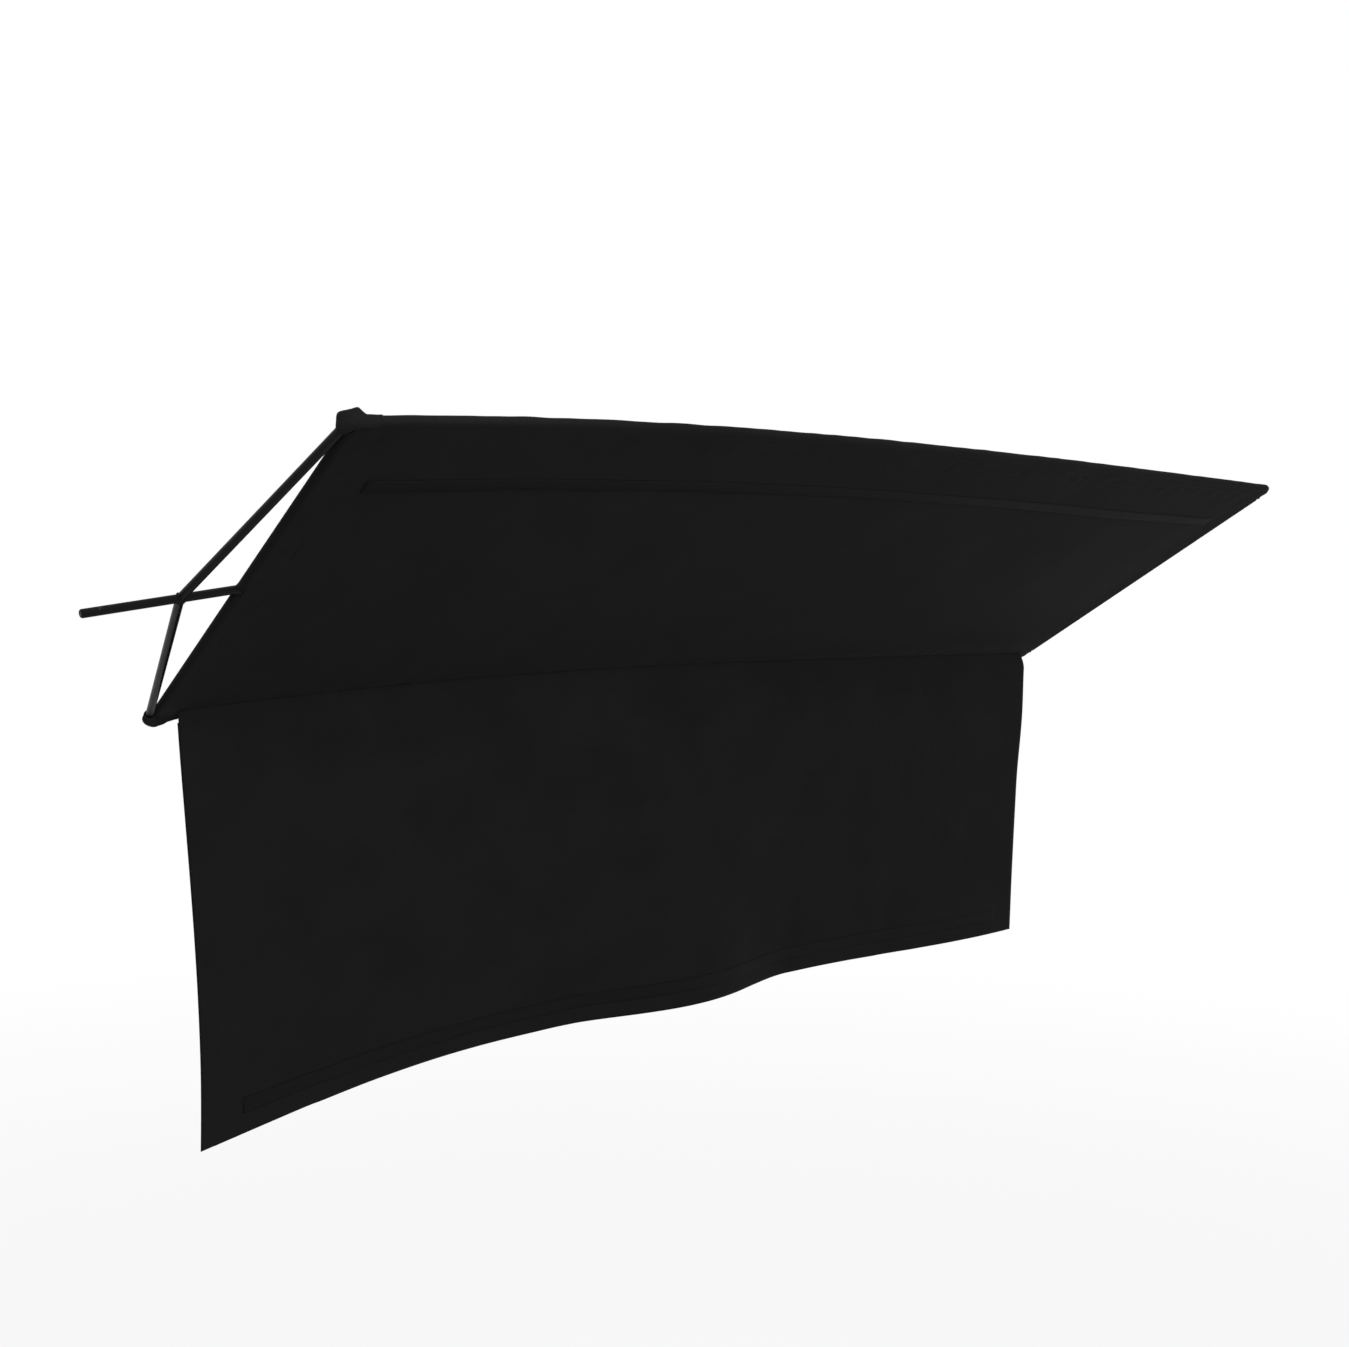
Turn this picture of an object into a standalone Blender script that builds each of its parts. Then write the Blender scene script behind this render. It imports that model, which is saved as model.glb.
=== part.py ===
"""Floppy cutter: a bent and welded rod frame with a mounting pin, a sewn black
cloth cover and a second sheet of cloth that hangs from its lower long edge.

Metres, +Z up. The origin is the point of the pin that a clamp holds, +X runs
from the pin towards the outer end, and the frame is tilted as it is held in use.
"""
from math import acos, atan2, cos, hypot, pi, radians, sin, tan

import bmesh
import bpy
from mathutils import Matrix, Quaternion, Vector

# Frame of round rod
ROD_DIAMETER = 0.0095
FRAME_LENGTH = 1.829
FRAME_WIDTH = 0.610
BEND_RADIUS = 0.011
CROSS_BAR_INSET = 0.006
BUTT_WELD_FROM_CORNER = 0.024

# Mounting pin, measured from the point that is clamped
PIN_DIAMETER = 0.0095
PIN_TAIL = 0.0745
PIN_TO_FRAME = 0.092
PIN_CHAMFER = 0.0012
APEX_TO_FRAME = 0.062

# Weld beads
BEAD_THICKNESS = 0.0030

# How the frame is held, and how far its outer end droops under its own weight
PANEL_TILT = radians(29.9)
FRAME_RISE = radians(7.64)
PIN_RISE = radians(11.05)
TIP_DROOP = 0.1345

# Cloth cover
CLOTH_THICKNESS = 0.0012
RAIL_WRAP_START = 0.012
BAR_WRAP_START = 0.030
HEM_START = 0.011
HEM_END = 0.034
COVER_SAG = 0.006
SAG_EDGE = 0.060
PIN_SLOT = 0.0165

# Flap
SEAM_INSET = 0.023
FLANGE_WIDTH = 0.010
HEADER_DROP = 0.008
FLAP_FROM_PIN_END = 0.028
FLAP_FROM_OUTER_END = 0.021
HEM_FALL_PIN_SIDE = 0.531
HEM_FALL_OUTER_SIDE = 0.548
GATHER_PIN_SIDE = 0.026
GATHER_OUTER_SIDE = 0.045
CORNER_SWING_PIN_SIDE = -0.050
CORNER_SWING_OUTER_SIDE = -0.020
GATHER_POWER = 0.7
SWING_POWER = 1.37

# The two folds of the hanging flap: how deep, and their middle and half width as shares of its length
MAIN_FOLD_DEPTH = 0.078
MAIN_FOLD = (0.242, 0.318)
SECOND_FOLD_DEPTH = 0.053
SECOND_FOLD = (0.681, 0.203)

# Hems and closure tapes of the flap
SIDE_HEM_SHARE = 0.010
BOTTOM_HEM_WIDTH = 0.020
TAPE_WIDTH = 0.020
TAPE_THICKNESS = 0.0010
TAPE_FROM_HEM = 0.004

# Clearances between pieces that touch
CLEARANCE = 0.0003

# Facets
ROD_SIDES_RESOLUTION = 4
ARC_STEPS = 6
RAIL_STEPS = 24
TURN_STEPS = 24
COVER_COLUMNS = 30
COVER_ROWS = 14
END_COLUMNS = 6
WRAP_ARC_STEPS = 9
FLAP_COLUMNS = 36
FLAP_ROWS = 11

# Sizes that follow from the ones above
ROD_RADIUS = ROD_DIAMETER / 2
PIN_RADIUS = PIN_DIAMETER / 2
HALF_WIDTH = FRAME_WIDTH / 2
WRAP_RADIUS = ROD_RADIUS + CLEARANCE + CLOTH_THICKNESS / 2
PLY_STEP = CLOTH_THICKNESS + CLEARANCE
TAPE_STEP = CLOTH_THICKNESS / 2 + CLEARANCE + TAPE_THICKNESS / 2


def clear_scene():
    for old in list(bpy.data.objects):
        bpy.data.objects.remove(old, do_unlink=True)


def make_collection(name):
    collection = bpy.data.collections.new(name)
    bpy.context.scene.collection.children.link(collection)
    return collection


def make_material(name, colour, roughness, metallic):
    material = bpy.data.materials.new(name)
    material.use_nodes = True
    shader = material.node_tree.nodes["Principled BSDF"]
    shader.inputs["Base Color"].default_value = (*colour, 1.0)
    shader.inputs["Roughness"].default_value = roughness
    shader.inputs["Metallic"].default_value = metallic
    return material


def pin_point(along):
    """Point of the pin's axis, at a distance from the clamped point towards the frame."""
    return Vector((cos(PIN_RISE), 0, sin(PIN_RISE))) * along


def cantilever(share):
    """Shape of an evenly loaded beam held at one end, from 0 at its root to 1 at its tip."""
    return share ** 2 * (6 - 4 * share + share ** 2) / 3


def across_direction():
    """Direction across the frame, from the near rail down to the far rail."""
    tilted = Matrix.Rotation(-PANEL_TILT, 3, "X") @ Vector((0, 1, 0))
    return Matrix.Rotation(-FRAME_RISE, 3, "Y") @ tilted


def rail_direction(along):
    """Direction of the drooping rails at a distance from the pin end."""
    share = along / FRAME_LENGTH
    slope = TIP_DROOP / FRAME_LENGTH * 4 * share * (3 - 3 * share + share ** 2) / 3
    return Vector((cos(FRAME_RISE), 0, sin(FRAME_RISE) - slope)).normalized()


def frame_point(along, across, lift=0.0):
    """Point of the held frame: along its rails, across them, and above the rods' centres."""
    spine = Vector((cos(FRAME_RISE), 0, sin(FRAME_RISE))) * along
    droop = Vector((0, 0, TIP_DROOP * cantilever(along / FRAME_LENGTH)))
    upward = rail_direction(along).cross(across_direction())
    return pin_point(PIN_TO_FRAME) + spine - droop + across_direction() * across + upward * lift


def between(low, high, share):
    return low + (high - low) * share


def smooth_step(value):
    value = min(max(value, 0.0), 1.0)
    return value * value * (3 - 2 * value)


def bend(before, corner, after):
    """Points of the round bend that a rod takes at a corner."""
    inward = (before - corner).normalized()
    onward = (after - corner).normalized()
    half_angle = inward.angle(onward) / 2
    reach = BEND_RADIUS / tan(half_angle)
    centre = corner + (inward + onward).normalized() * (BEND_RADIUS / sin(half_angle))
    first = corner + inward * reach - centre
    last = corner + onward * reach - centre
    turn = first.rotation_difference(last)
    return [centre + Quaternion().slerp(turn, i / ARC_STEPS) @ first for i in range(ARC_STEPS + 1)]


def side_rod_path(side):
    """Centre line of a side rod: strut, bend, drooping rail, outer bend and its short end."""
    apex = pin_point(PIN_TO_FRAME - APEX_TO_FRAME)
    inner = frame_point(0, side * HALF_WIDTH)
    outer = frame_point(FRAME_LENGTH, side * HALF_WIDTH)
    rail = [frame_point(FRAME_LENGTH * i / RAIL_STEPS, side * HALF_WIDTH) for i in range(1, RAIL_STEPS)]
    butt = frame_point(FRAME_LENGTH, side * (HALF_WIDTH - BUTT_WELD_FROM_CORNER + CLEARANCE / 2))
    return [apex] + bend(apex, inner, rail[0]) + rail + bend(rail[-1], outer, butt) + [butt]


def rod_mesh(name, points, radius, collection):
    """A round rod along a list of points, with its ends closed."""
    curve = bpy.data.curves.new(name, "CURVE")
    curve.dimensions = "3D"
    curve.bevel_depth = radius
    curve.bevel_resolution = ROD_SIDES_RESOLUTION
    curve.use_fill_caps = True
    spline = curve.splines.new("POLY")
    spline.points.add(len(points) - 1)
    for target, point in zip(spline.points, points):
        target.co = (*point, 1.0)
    guide = bpy.data.objects.new(name + "_line", curve)
    collection.objects.link(guide)
    evaluated = guide.evaluated_get(bpy.context.evaluated_depsgraph_get())
    mesh = bpy.data.meshes.new_from_object(evaluated)
    mesh.name = name
    rod = bpy.data.objects.new(name, mesh)
    rod.matrix_world = guide.matrix_world
    collection.objects.link(rod)
    bpy.data.objects.remove(guide, do_unlink=True)
    weld_doubles(mesh)
    return rod


def weld_doubles(mesh):
    work = bmesh.new()
    work.from_mesh(mesh)
    bmesh.ops.remove_doubles(work, verts=work.verts, dist=0.00001)
    bmesh.ops.recalc_face_normals(work, faces=work.faces)
    work.to_mesh(mesh)
    work.free()


def finish_rod(rod, material):
    rod.data.materials.clear()
    rod.data.materials.append(material)
    rod.data.shade_smooth()
    rod.data.set_sharp_from_angle(angle=radians(40))


def cut(target, cutter):
    """Cut a shape out of a piece."""
    cutter.hide_render = True
    cutter.display_type = "WIRE"
    modifier = target.modifiers.new("cut_" + cutter.name, "BOOLEAN")
    modifier.operation = "DIFFERENCE"
    modifier.solver = "EXACT"
    modifier.object = cutter


def join(target, addition):
    """Fuse a second shape into a piece."""
    addition.hide_render = True
    addition.display_type = "WIRE"
    modifier = target.modifiers.new("join_" + addition.name, "BOOLEAN")
    modifier.operation = "UNION"
    modifier.solver = "EXACT"
    modifier.object = addition


def bead(name, place, direction, collection):
    """A weld bead: a ring round the end of a rod."""
    bpy.ops.mesh.primitive_torus_add(
        major_segments=16, minor_segments=8,
        major_radius=ROD_RADIUS, minor_radius=BEAD_THICKNESS / 2,
        location=place, rotation=direction.to_track_quat("Z", "Y").to_euler())
    ring = bpy.context.active_object
    ring.name = name
    ring.users_collection[0].objects.unlink(ring)
    collection.objects.link(ring)
    return ring


def make_side_rod(name, side, parts, cutters, material):
    """One bent rod of the frame, with its strut's end shaped to the round of the pin."""
    path = side_rod_path(side)
    rod = rod_mesh(name, path, ROD_RADIUS, parts)
    along_strut = (path[1] - path[0]).normalized()
    join(rod, bead(name + "_bead", path[0] + along_strut * (PIN_RADIUS + BEAD_THICKNESS / 2),
                   along_strut, cutters))
    pin_room = [pin_point(-PIN_TAIL), pin_point(PIN_TO_FRAME + ROD_DIAMETER)]
    cut(rod, rod_mesh(name + "_pin_room", pin_room, PIN_RADIUS + CLEARANCE, cutters))
    finish_rod(rod, material)
    return rod


def make_cross_bar(parts, cutters, material):
    """The short bar at the pin end, its ends shaped to the bends of the side rods."""
    reach = HALF_WIDTH - ROD_RADIUS / 2
    ends = [frame_point(CROSS_BAR_INSET, side * reach) for side in (-1, 1)]
    bar = rod_mesh("cross_bar", ends, ROD_RADIUS, parts)
    for side, label in ((-1, "near"), (1, "far")):
        room = rod_mesh(label + "_rod_room", side_rod_path(side), ROD_RADIUS + CLEARANCE, cutters)
        cut(bar, room)
    finish_rod(bar, material)
    return bar


def make_end_bar(parts, material):
    """The outer short bar, between the ends of the two outer bends."""
    reach = HALF_WIDTH - BUTT_WELD_FROM_CORNER - CLEARANCE / 2
    ends = [frame_point(FRAME_LENGTH, side * reach) for side in (-1, 1)]
    bar = rod_mesh("end_bar", ends, ROD_RADIUS, parts)
    finish_rod(bar, material)
    return bar


def make_pin(parts, cutters, material):
    """The mounting pin, a turned bar with a chamfered free end, shaped to the cross bar."""
    length = PIN_TAIL + PIN_TO_FRAME + CROSS_BAR_INSET
    profile = [(0, length), (PIN_RADIUS - PIN_CHAMFER, length), (PIN_RADIUS, length - PIN_CHAMFER),
               (PIN_RADIUS, 0), (0, 0)]
    mesh = bpy.data.meshes.new("pin")
    work = bmesh.new()
    corners = [work.verts.new((x, 0, z)) for x, z in profile]
    for first, second in zip(corners, corners[1:]):
        work.edges.new((first, second))
    work.to_mesh(mesh)
    work.free()
    pin = bpy.data.objects.new("pin", mesh)
    parts.objects.link(pin)
    pin.location = pin_point(PIN_TO_FRAME + CROSS_BAR_INSET)
    pin.rotation_euler = (-pin_point(1)).to_track_quat("Z", "Y").to_euler()
    screw = pin.modifiers.new("turn", "SCREW")
    screw.steps = TURN_STEPS
    screw.render_steps = TURN_STEPS
    screw.use_merge_vertices = True
    screw.merge_threshold = 0.00001
    bar_room = [frame_point(CROSS_BAR_INSET, side * HALF_WIDTH / 4) for side in (-1, 1)]
    cut(pin, rod_mesh("bar_room", bar_room, ROD_RADIUS + CLEARANCE, cutters))
    finish_rod(pin, material)
    return pin


def cloth_sheet(name, columns, rows, place, parts, material, thickness=CLOTH_THICKNESS, pivot=Vector()):
    """A grid laid out by place(u, v), with u and v from 0 to 1, thickened to both sides."""
    mesh = bpy.data.meshes.new(name)
    work = bmesh.new()
    bmesh.ops.create_grid(work, x_segments=columns, y_segments=rows, size=0.5)
    for vertex in work.verts:
        vertex.co = place(vertex.co.x + 0.5, vertex.co.y + 0.5) - pivot
    work.to_mesh(mesh)
    work.free()
    sheet = bpy.data.objects.new(name, mesh)
    sheet.location = pivot
    parts.objects.link(sheet)
    solid = sheet.modifiers.new("thickness", "SOLIDIFY")
    solid.thickness = thickness
    solid.offset = 0
    solid.use_even_offset = True
    mesh.materials.append(material)
    mesh.shade_smooth()
    mesh.set_sharp_from_angle(angle=radians(50))
    return sheet


def cover_lift(along, across):
    """Height of the cover's middle plane: tangent below the rods, and sagging between them."""
    from_rail = HALF_WIDTH - abs(across)
    from_end = min(along - CROSS_BAR_INSET, FRAME_LENGTH - along)
    across_share = smooth_step((from_rail - SAG_EDGE) / (HALF_WIDTH - SAG_EDGE))
    along_share = smooth_step((from_end - SAG_EDGE) / HALF_WIDTH)
    return -WRAP_RADIUS - COVER_SAG * across_share * along_share


def make_cover_panel(parts, material):
    """The cloth between the rods."""
    def place(u, v):
        along = between(CROSS_BAR_INSET + CLEARANCE / 2, FRAME_LENGTH - CLEARANCE / 2, u)
        across = between(-HALF_WIDTH + CLEARANCE / 2, HALF_WIDTH - CLEARANCE / 2, v)
        return frame_point(along, across, cover_lift(along, across))
    return cloth_sheet("cover_panel", COVER_COLUMNS, COVER_ROWS, place, parts, material)


def wrap_profile():
    """Section of a cover edge turned round a rod: outward and upward distances from its centre."""
    hem_lift = -WRAP_RADIUS + PLY_STEP
    reach = hypot(HEM_START, hem_lift)
    leave = pi + atan2(-hem_lift, HEM_START) - acos(WRAP_RADIUS / reach)
    turns = [between(-pi / 2, leave, i / WRAP_ARC_STEPS) for i in range(WRAP_ARC_STEPS + 1)]
    arc = [(WRAP_RADIUS * cos(turn), WRAP_RADIUS * sin(turn)) for turn in turns]
    arc[0] = (CLEARANCE / 2, -WRAP_RADIUS)
    return arc + [(-HEM_START, hem_lift), (-HEM_END, hem_lift)]


def make_wrap(name, columns, start, end, corner_distance, edge_place, parts, material):
    """One turned edge of the cover, with its hem mitred at the corners of the frame."""
    profile = wrap_profile()
    steps = len(profile) - 1

    def place(u, v):
        run = between(start, end, u)
        outward, lift = profile[round(v * steps)]
        outward = max(outward, CLEARANCE / 2 - corner_distance(run))
        return edge_place(run, outward, lift)
    return cloth_sheet(name, columns, steps, place, parts, material)


def make_wraps(parts, material):
    """The cover's edges round the near and far rails, the end bar and both halves of the cross bar."""
    rail_start = CROSS_BAR_INSET + RAIL_WRAP_START
    rail_end = FRAME_LENGTH - RAIL_WRAP_START
    bar_reach = HALF_WIDTH - BAR_WRAP_START

    def from_ends(run):
        return min(run - CROSS_BAR_INSET, FRAME_LENGTH - run)

    def from_rails(run):
        return HALF_WIDTH - abs(run)

    for name, side in (("near_rail_wrap", -1), ("far_rail_wrap", 1)):
        def on_rail(run, outward, lift, side=side):
            return frame_point(run, side * (HALF_WIDTH + outward), lift)
        make_wrap(name, COVER_COLUMNS, rail_start, rail_end, from_ends, on_rail, parts, material)

    def on_end_bar(run, outward, lift):
        return frame_point(FRAME_LENGTH, run, lift) + rail_direction(FRAME_LENGTH) * outward
    make_wrap("outer_end_wrap", 2 * END_COLUMNS, -bar_reach, bar_reach, from_rails, on_end_bar,
              parts, material)

    def on_cross_bar(run, outward, lift):
        return frame_point(CROSS_BAR_INSET, run, lift) - rail_direction(CROSS_BAR_INSET) * outward
    for name, side in (("pin_end_wrap_near", -1), ("pin_end_wrap_far", 1)):
        make_wrap(name, END_COLUMNS, side * PIN_SLOT / 2, side * bar_reach, from_rails,
                  on_cross_bar, parts, material)


def seam_point(share, across_offset=0.0):
    """Point of the line along which the flap is sewn to the cover's underside."""
    along = between(FLAP_FROM_PIN_END, FRAME_LENGTH - FLAP_FROM_OUTER_END, share)
    return frame_point(along, HALF_WIDTH - SEAM_INSET + across_offset, -WRAP_RADIUS - PLY_STEP)


def fold_point(share):
    """Point of the straight line about which the flap swings."""
    return seam_point(0).lerp(seam_point(1), share) - Vector((0, 0, HEADER_DROP))


def make_flap_header(parts, material):
    """The sewn top edge of the flap: a flange on the cover, and a strip down to the fold line."""
    lowest = CLOTH_THICKNESS / 2 + CLEARANCE

    def place(u, v):
        if v < 0.25:
            return seam_point(u, FLANGE_WIDTH)
        if v < 0.75:
            return seam_point(u)
        return fold_point(u) + Vector((0, 0, lowest))
    return cloth_sheet("flap_header", FLAP_COLUMNS, 2, place, parts, material)


def fold_depth(share, fold, depth):
    centre, half_width = fold
    distance = min(abs(share - centre) / half_width, 1.0)
    return depth * (1 + cos(pi * distance)) / 2


def raw_swing(share):
    corners = between(CORNER_SWING_PIN_SIDE, CORNER_SWING_OUTER_SIDE, share)
    main = fold_depth(share, MAIN_FOLD, MAIN_FOLD_DEPTH)
    return corners + main + fold_depth(share, SECOND_FOLD, SECOND_FOLD_DEPTH)


def balance():
    """The swing that brings the flap's weight plumb below its fold line."""
    samples = 200
    return sum(raw_swing((i + 0.5) / samples) for i in range(samples)) / samples


def flap_point(share, fall):
    """Point of the hanging flap: share of its length, and fall from the fold line to the hem."""
    top = fold_point(share)
    hem_fall = between(HEM_FALL_PIN_SIDE, HEM_FALL_OUTER_SIDE, share)
    drop = (top.z - seam_point(share).z + hem_fall) * fall
    swing = (raw_swing(share) - balance()) * fall ** SWING_POWER
    gather = between(GATHER_PIN_SIDE, -GATHER_OUTER_SIDE, share) * fall ** GATHER_POWER
    hang = (drop ** 2 - swing ** 2) ** 0.5 if drop > abs(swing) else drop
    return top + Vector((gather, swing, -hang))


def flap_offset_point(share, fall, distance):
    """Point at a distance from the flap's middle plane, positive on the side away from the cover."""
    step = 0.01
    left = flap_point(max(share - step, 0), fall)
    right = flap_point(min(share + step, 1), fall)
    above = flap_point(share, max(fall - step, 0))
    below = flap_point(share, min(fall + step, 1))
    normal = (right - left).cross(above - below).normalized()
    return flap_point(share, fall) - normal * distance


def flap_shares():
    """Stations along the flap: both side hems, and even steps between them."""
    inner = [i / FLAP_COLUMNS for i in range(1, FLAP_COLUMNS)]
    return [0, SIDE_HEM_SHARE] + inner + [1 - SIDE_HEM_SHARE, 1]


def flap_falls():
    """Stations down the flap: even steps to the hook tape, then the tape's and the hem's edges."""
    hem = 1 - BOTTOM_HEM_WIDTH / HEM_FALL_PIN_SIDE
    tape_low = hem - TAPE_FROM_HEM / HEM_FALL_PIN_SIDE
    tape_high = tape_low - TAPE_WIDTH / HEM_FALL_PIN_SIDE
    return [tape_high * i / FLAP_ROWS for i in range(FLAP_ROWS)] + [tape_high, tape_low, hem, 1]


def flap_sheet(name, shares, falls, distance, parts, material, thickness=CLOTH_THICKNESS):
    """A sheet through the flap's own stations, with its origin on the line it swings about."""
    columns = len(shares) - 1
    rows = len(falls) - 1

    def place(u, v):
        return flap_offset_point(shares[round(u * columns)], falls[round(v * rows)], distance)
    return cloth_sheet(name, columns, rows, place, parts, material, thickness, fold_point(0.5))


def make_flap(parts, cloth, tape):
    """The hanging sheet, the turned hems on its outside and the hook tape on its closing side."""
    shares = flap_shares()
    falls = flap_falls()
    flap_sheet("flap", shares, falls, 0, parts, cloth)
    hem_end = SIDE_HEM_SHARE + CLEARANCE / FRAME_LENGTH
    hem_shares = [hem_end] + shares[2:-2] + [1 - hem_end]
    flap_sheet("flap_bottom_hem", hem_shares, falls[-2:], PLY_STEP, parts, cloth)
    flap_sheet("flap_pin_side_hem", shares[:2], falls[1:], PLY_STEP, parts, cloth)
    flap_sheet("flap_outer_side_hem", shares[-2:], falls[1:], PLY_STEP, parts, cloth)
    flap_sheet("hook_tape", shares[2:-2], falls[-4:-2], -TAPE_STEP, parts, tape, TAPE_THICKNESS)


def make_loop_tape(parts, tape):
    """The tape under the cover that the folded flap's hook tape meets."""
    fold_across = HALF_WIDTH - SEAM_INSET + HEADER_DROP * sin(PANEL_TILT)
    flap_length = HEM_FALL_PIN_SIDE - HEADER_DROP
    closed = fold_across - flap_length + BOTTOM_HEM_WIDTH + TAPE_FROM_HEM

    def place(u, v):
        along = between(HALF_WIDTH / 5, FRAME_LENGTH - HALF_WIDTH / 5, u)
        across = between(closed, closed + TAPE_WIDTH, v)
        return frame_point(along, across, cover_lift(along, across) - TAPE_STEP)
    return cloth_sheet("loop_tape", COVER_COLUMNS, 1, place, parts, tape, TAPE_THICKNESS)


def main():
    clear_scene()
    parts = make_collection("floppy_cutter")
    cutters = make_collection("cutters")
    enamel = make_material("black_enamel", (0.010, 0.010, 0.012), 0.28, 0.0)
    cloth = make_material("black_duvetyne", (0.012, 0.011, 0.011), 0.95, 0.0)
    tape = make_material("black_nylon_tape", (0.014, 0.014, 0.015), 0.8, 0.0)
    make_pin(parts, cutters, enamel)
    make_side_rod("near_side_rod", -1, parts, cutters, enamel)
    make_side_rod("far_side_rod", 1, parts, cutters, enamel)
    make_cross_bar(parts, cutters, enamel)
    make_end_bar(parts, enamel)
    make_cover_panel(parts, cloth)
    make_wraps(parts, cloth)
    make_flap_header(parts, cloth)
    make_flap(parts, cloth, tape)
    make_loop_tape(parts, tape)


main()
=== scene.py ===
# %% [markdown]
# # A floppy cutter, dressed round its CAD frame
# A floppy cutter is a flag for film lights. A welded frame of round rod carries black cloth,
# and a second sheet of cloth hangs from one long edge until it is folded away under the frame.
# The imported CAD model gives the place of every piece. This script rebuilds the cloth at full
# detail round it, paints the rods, adds welds and stitching, and lights the whole.

from math import acos, atan2, cos, exp, hypot, pi, radians, sin, tan

import bmesh
import bpy
from mathutils import Matrix, Quaternion, Vector, noise


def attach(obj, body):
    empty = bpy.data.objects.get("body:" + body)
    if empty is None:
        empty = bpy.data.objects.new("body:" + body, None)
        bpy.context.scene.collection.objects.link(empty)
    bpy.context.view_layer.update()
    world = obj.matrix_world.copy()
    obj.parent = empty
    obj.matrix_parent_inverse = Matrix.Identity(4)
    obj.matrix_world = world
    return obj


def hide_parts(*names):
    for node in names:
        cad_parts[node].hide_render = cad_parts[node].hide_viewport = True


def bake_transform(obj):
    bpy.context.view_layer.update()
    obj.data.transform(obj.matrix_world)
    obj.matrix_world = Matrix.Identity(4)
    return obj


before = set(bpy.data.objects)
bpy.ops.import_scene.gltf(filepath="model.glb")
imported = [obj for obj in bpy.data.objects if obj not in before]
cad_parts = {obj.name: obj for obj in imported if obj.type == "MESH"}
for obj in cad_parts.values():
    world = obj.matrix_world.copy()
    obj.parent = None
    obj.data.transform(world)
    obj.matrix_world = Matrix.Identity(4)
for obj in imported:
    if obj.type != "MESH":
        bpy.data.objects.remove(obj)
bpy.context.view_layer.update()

# %% [markdown]
# ## Camera
# The viewpoint was solved from the corners, rails, hem and pin of the object, with the frame
# held at its standard size: a lens of normal length at the height of the pin, looking
# along the frame from its pin end and up at the cloth's underside. The matrix is written from
# the camera's three directions, just as they were solved.

# %% Place the camera
CAMERA_PLACE = Vector((-0.6282, -1.4814, -0.0373))
CAMERA_RIGHT = Vector((0.73761, -0.67473, 0.02600))
CAMERA_UP = Vector((-0.00965, 0.02796, 0.99956))
CAMERA_FORWARD = Vector((0.67516, 0.73754, -0.01411))
FOCAL_PIXELS = 1479.27
IMAGE_WIDTH = 1349

camera = bpy.data.objects.new("camera", bpy.data.cameras.new("camera"))
bpy.context.scene.collection.objects.link(camera)
turn = Matrix((CAMERA_RIGHT, CAMERA_UP, -CAMERA_FORWARD)).transposed()
camera.matrix_world = Matrix.Translation(CAMERA_PLACE) @ turn.to_4x4()
camera.data.sensor_width = 36
camera.data.lens = FOCAL_PIXELS * camera.data.sensor_width / IMAGE_WIDTH
bpy.context.scene.camera = camera
print("lens:", round(camera.data.lens, 2), "mm")

# %% [markdown]
# ## Colours, nodes and objects
# Colours are written as the hex values a picture shows, and one function turns them to the
# linear values that shaders use. One function adds a node, with its settings and its links,
# so that each material reads as a list of what is connected to what.

# %% Helpers for materials
def linear(hex_colour):
    parts = [int(hex_colour[i:i + 2], 16) / 255 for i in (1, 3, 5)]
    return (*[c / 12.92 if c < 0.04045 else ((c + 0.055) / 1.055) ** 2.4 for c in parts], 1.0)


def add(tree, kind, settings=None, inputs=None):
    """Adds a node. An input is a value, or a socket of another node to link from."""
    node = tree.nodes.new(kind)
    for name, value in (settings or {}).items():
        setattr(node, name, value)
    for name, value in (inputs or {}).items():
        if isinstance(value, bpy.types.NodeSocket):
            tree.links.new(value, node.inputs[name])
        else:
            node.inputs[name].default_value = value
    return node


def new_material(name, colour, roughness):
    """A material with its Principled shader, and constant values on the shader's own sockets."""
    material = bpy.data.materials.new(name)
    material.use_nodes = True
    shader = material.node_tree.nodes["Principled BSDF"]
    shader.inputs["Base Color"].default_value = linear(colour)
    shader.inputs["Roughness"].default_value = roughness
    return material, material.node_tree, shader


# %% Helpers for meshes
def new_object(name, mesh, material):
    piece = bpy.data.objects.new(name, mesh)
    bpy.context.scene.collection.objects.link(piece)
    mesh.materials.append(material)
    mesh.shade_smooth()
    return piece


def grid_mesh(name, points, flat, keep=None):
    """A mesh through a grid of points, with the cloth's flat cut, in metres, as its UV map."""
    rows, columns = len(points), len(points[0])
    faces = [(r * columns + c, r * columns + c + 1, (r + 1) * columns + c + 1, (r + 1) * columns + c)
             for r in range(rows - 1) for c in range(columns - 1) if keep is None or keep(r, c)]
    used = sorted({index for face in faces for index in face})
    place = {old: new for new, old in enumerate(used)}
    mesh = bpy.data.meshes.new(name)
    mesh.from_pydata([points[i // columns][i % columns] for i in used], [],
                     [[place[i] for i in face] for face in faces])
    layer = mesh.uv_layers.new(name="cut")
    for loop, index in zip(mesh.loops, [i for face in faces for i in face]):
        layer.data[loop.index].uv = flat(index // columns, index % columns)
    return mesh


def thicken(piece, thickness):
    solid = piece.modifiers.new("thickness", "SOLIDIFY")
    solid.thickness = thickness
    solid.offset = 0
    solid.use_even_offset = True
    return piece


def merge_doubles(mesh, reach):
    """Merges points closer than the reach, and turns all faces outwards."""
    work = bmesh.new()
    work.from_mesh(mesh)
    bmesh.ops.remove_doubles(work, verts=work.verts, dist=reach)
    bmesh.ops.recalc_face_normals(work, faces=work.faces)
    work.to_mesh(mesh)
    work.free()


print("helpers ready")

# %% [markdown]
# ## The frame's geometry
# The frame is taken to be the standard one: three-eighths inch rod, bent to 24 by 72 inches and
# welded. It is held at its pin, tilted and raised, and its outer end droops as a beam held at
# one end does. The same named sizes and formulas place every piece, so that all of it follows.

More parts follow.
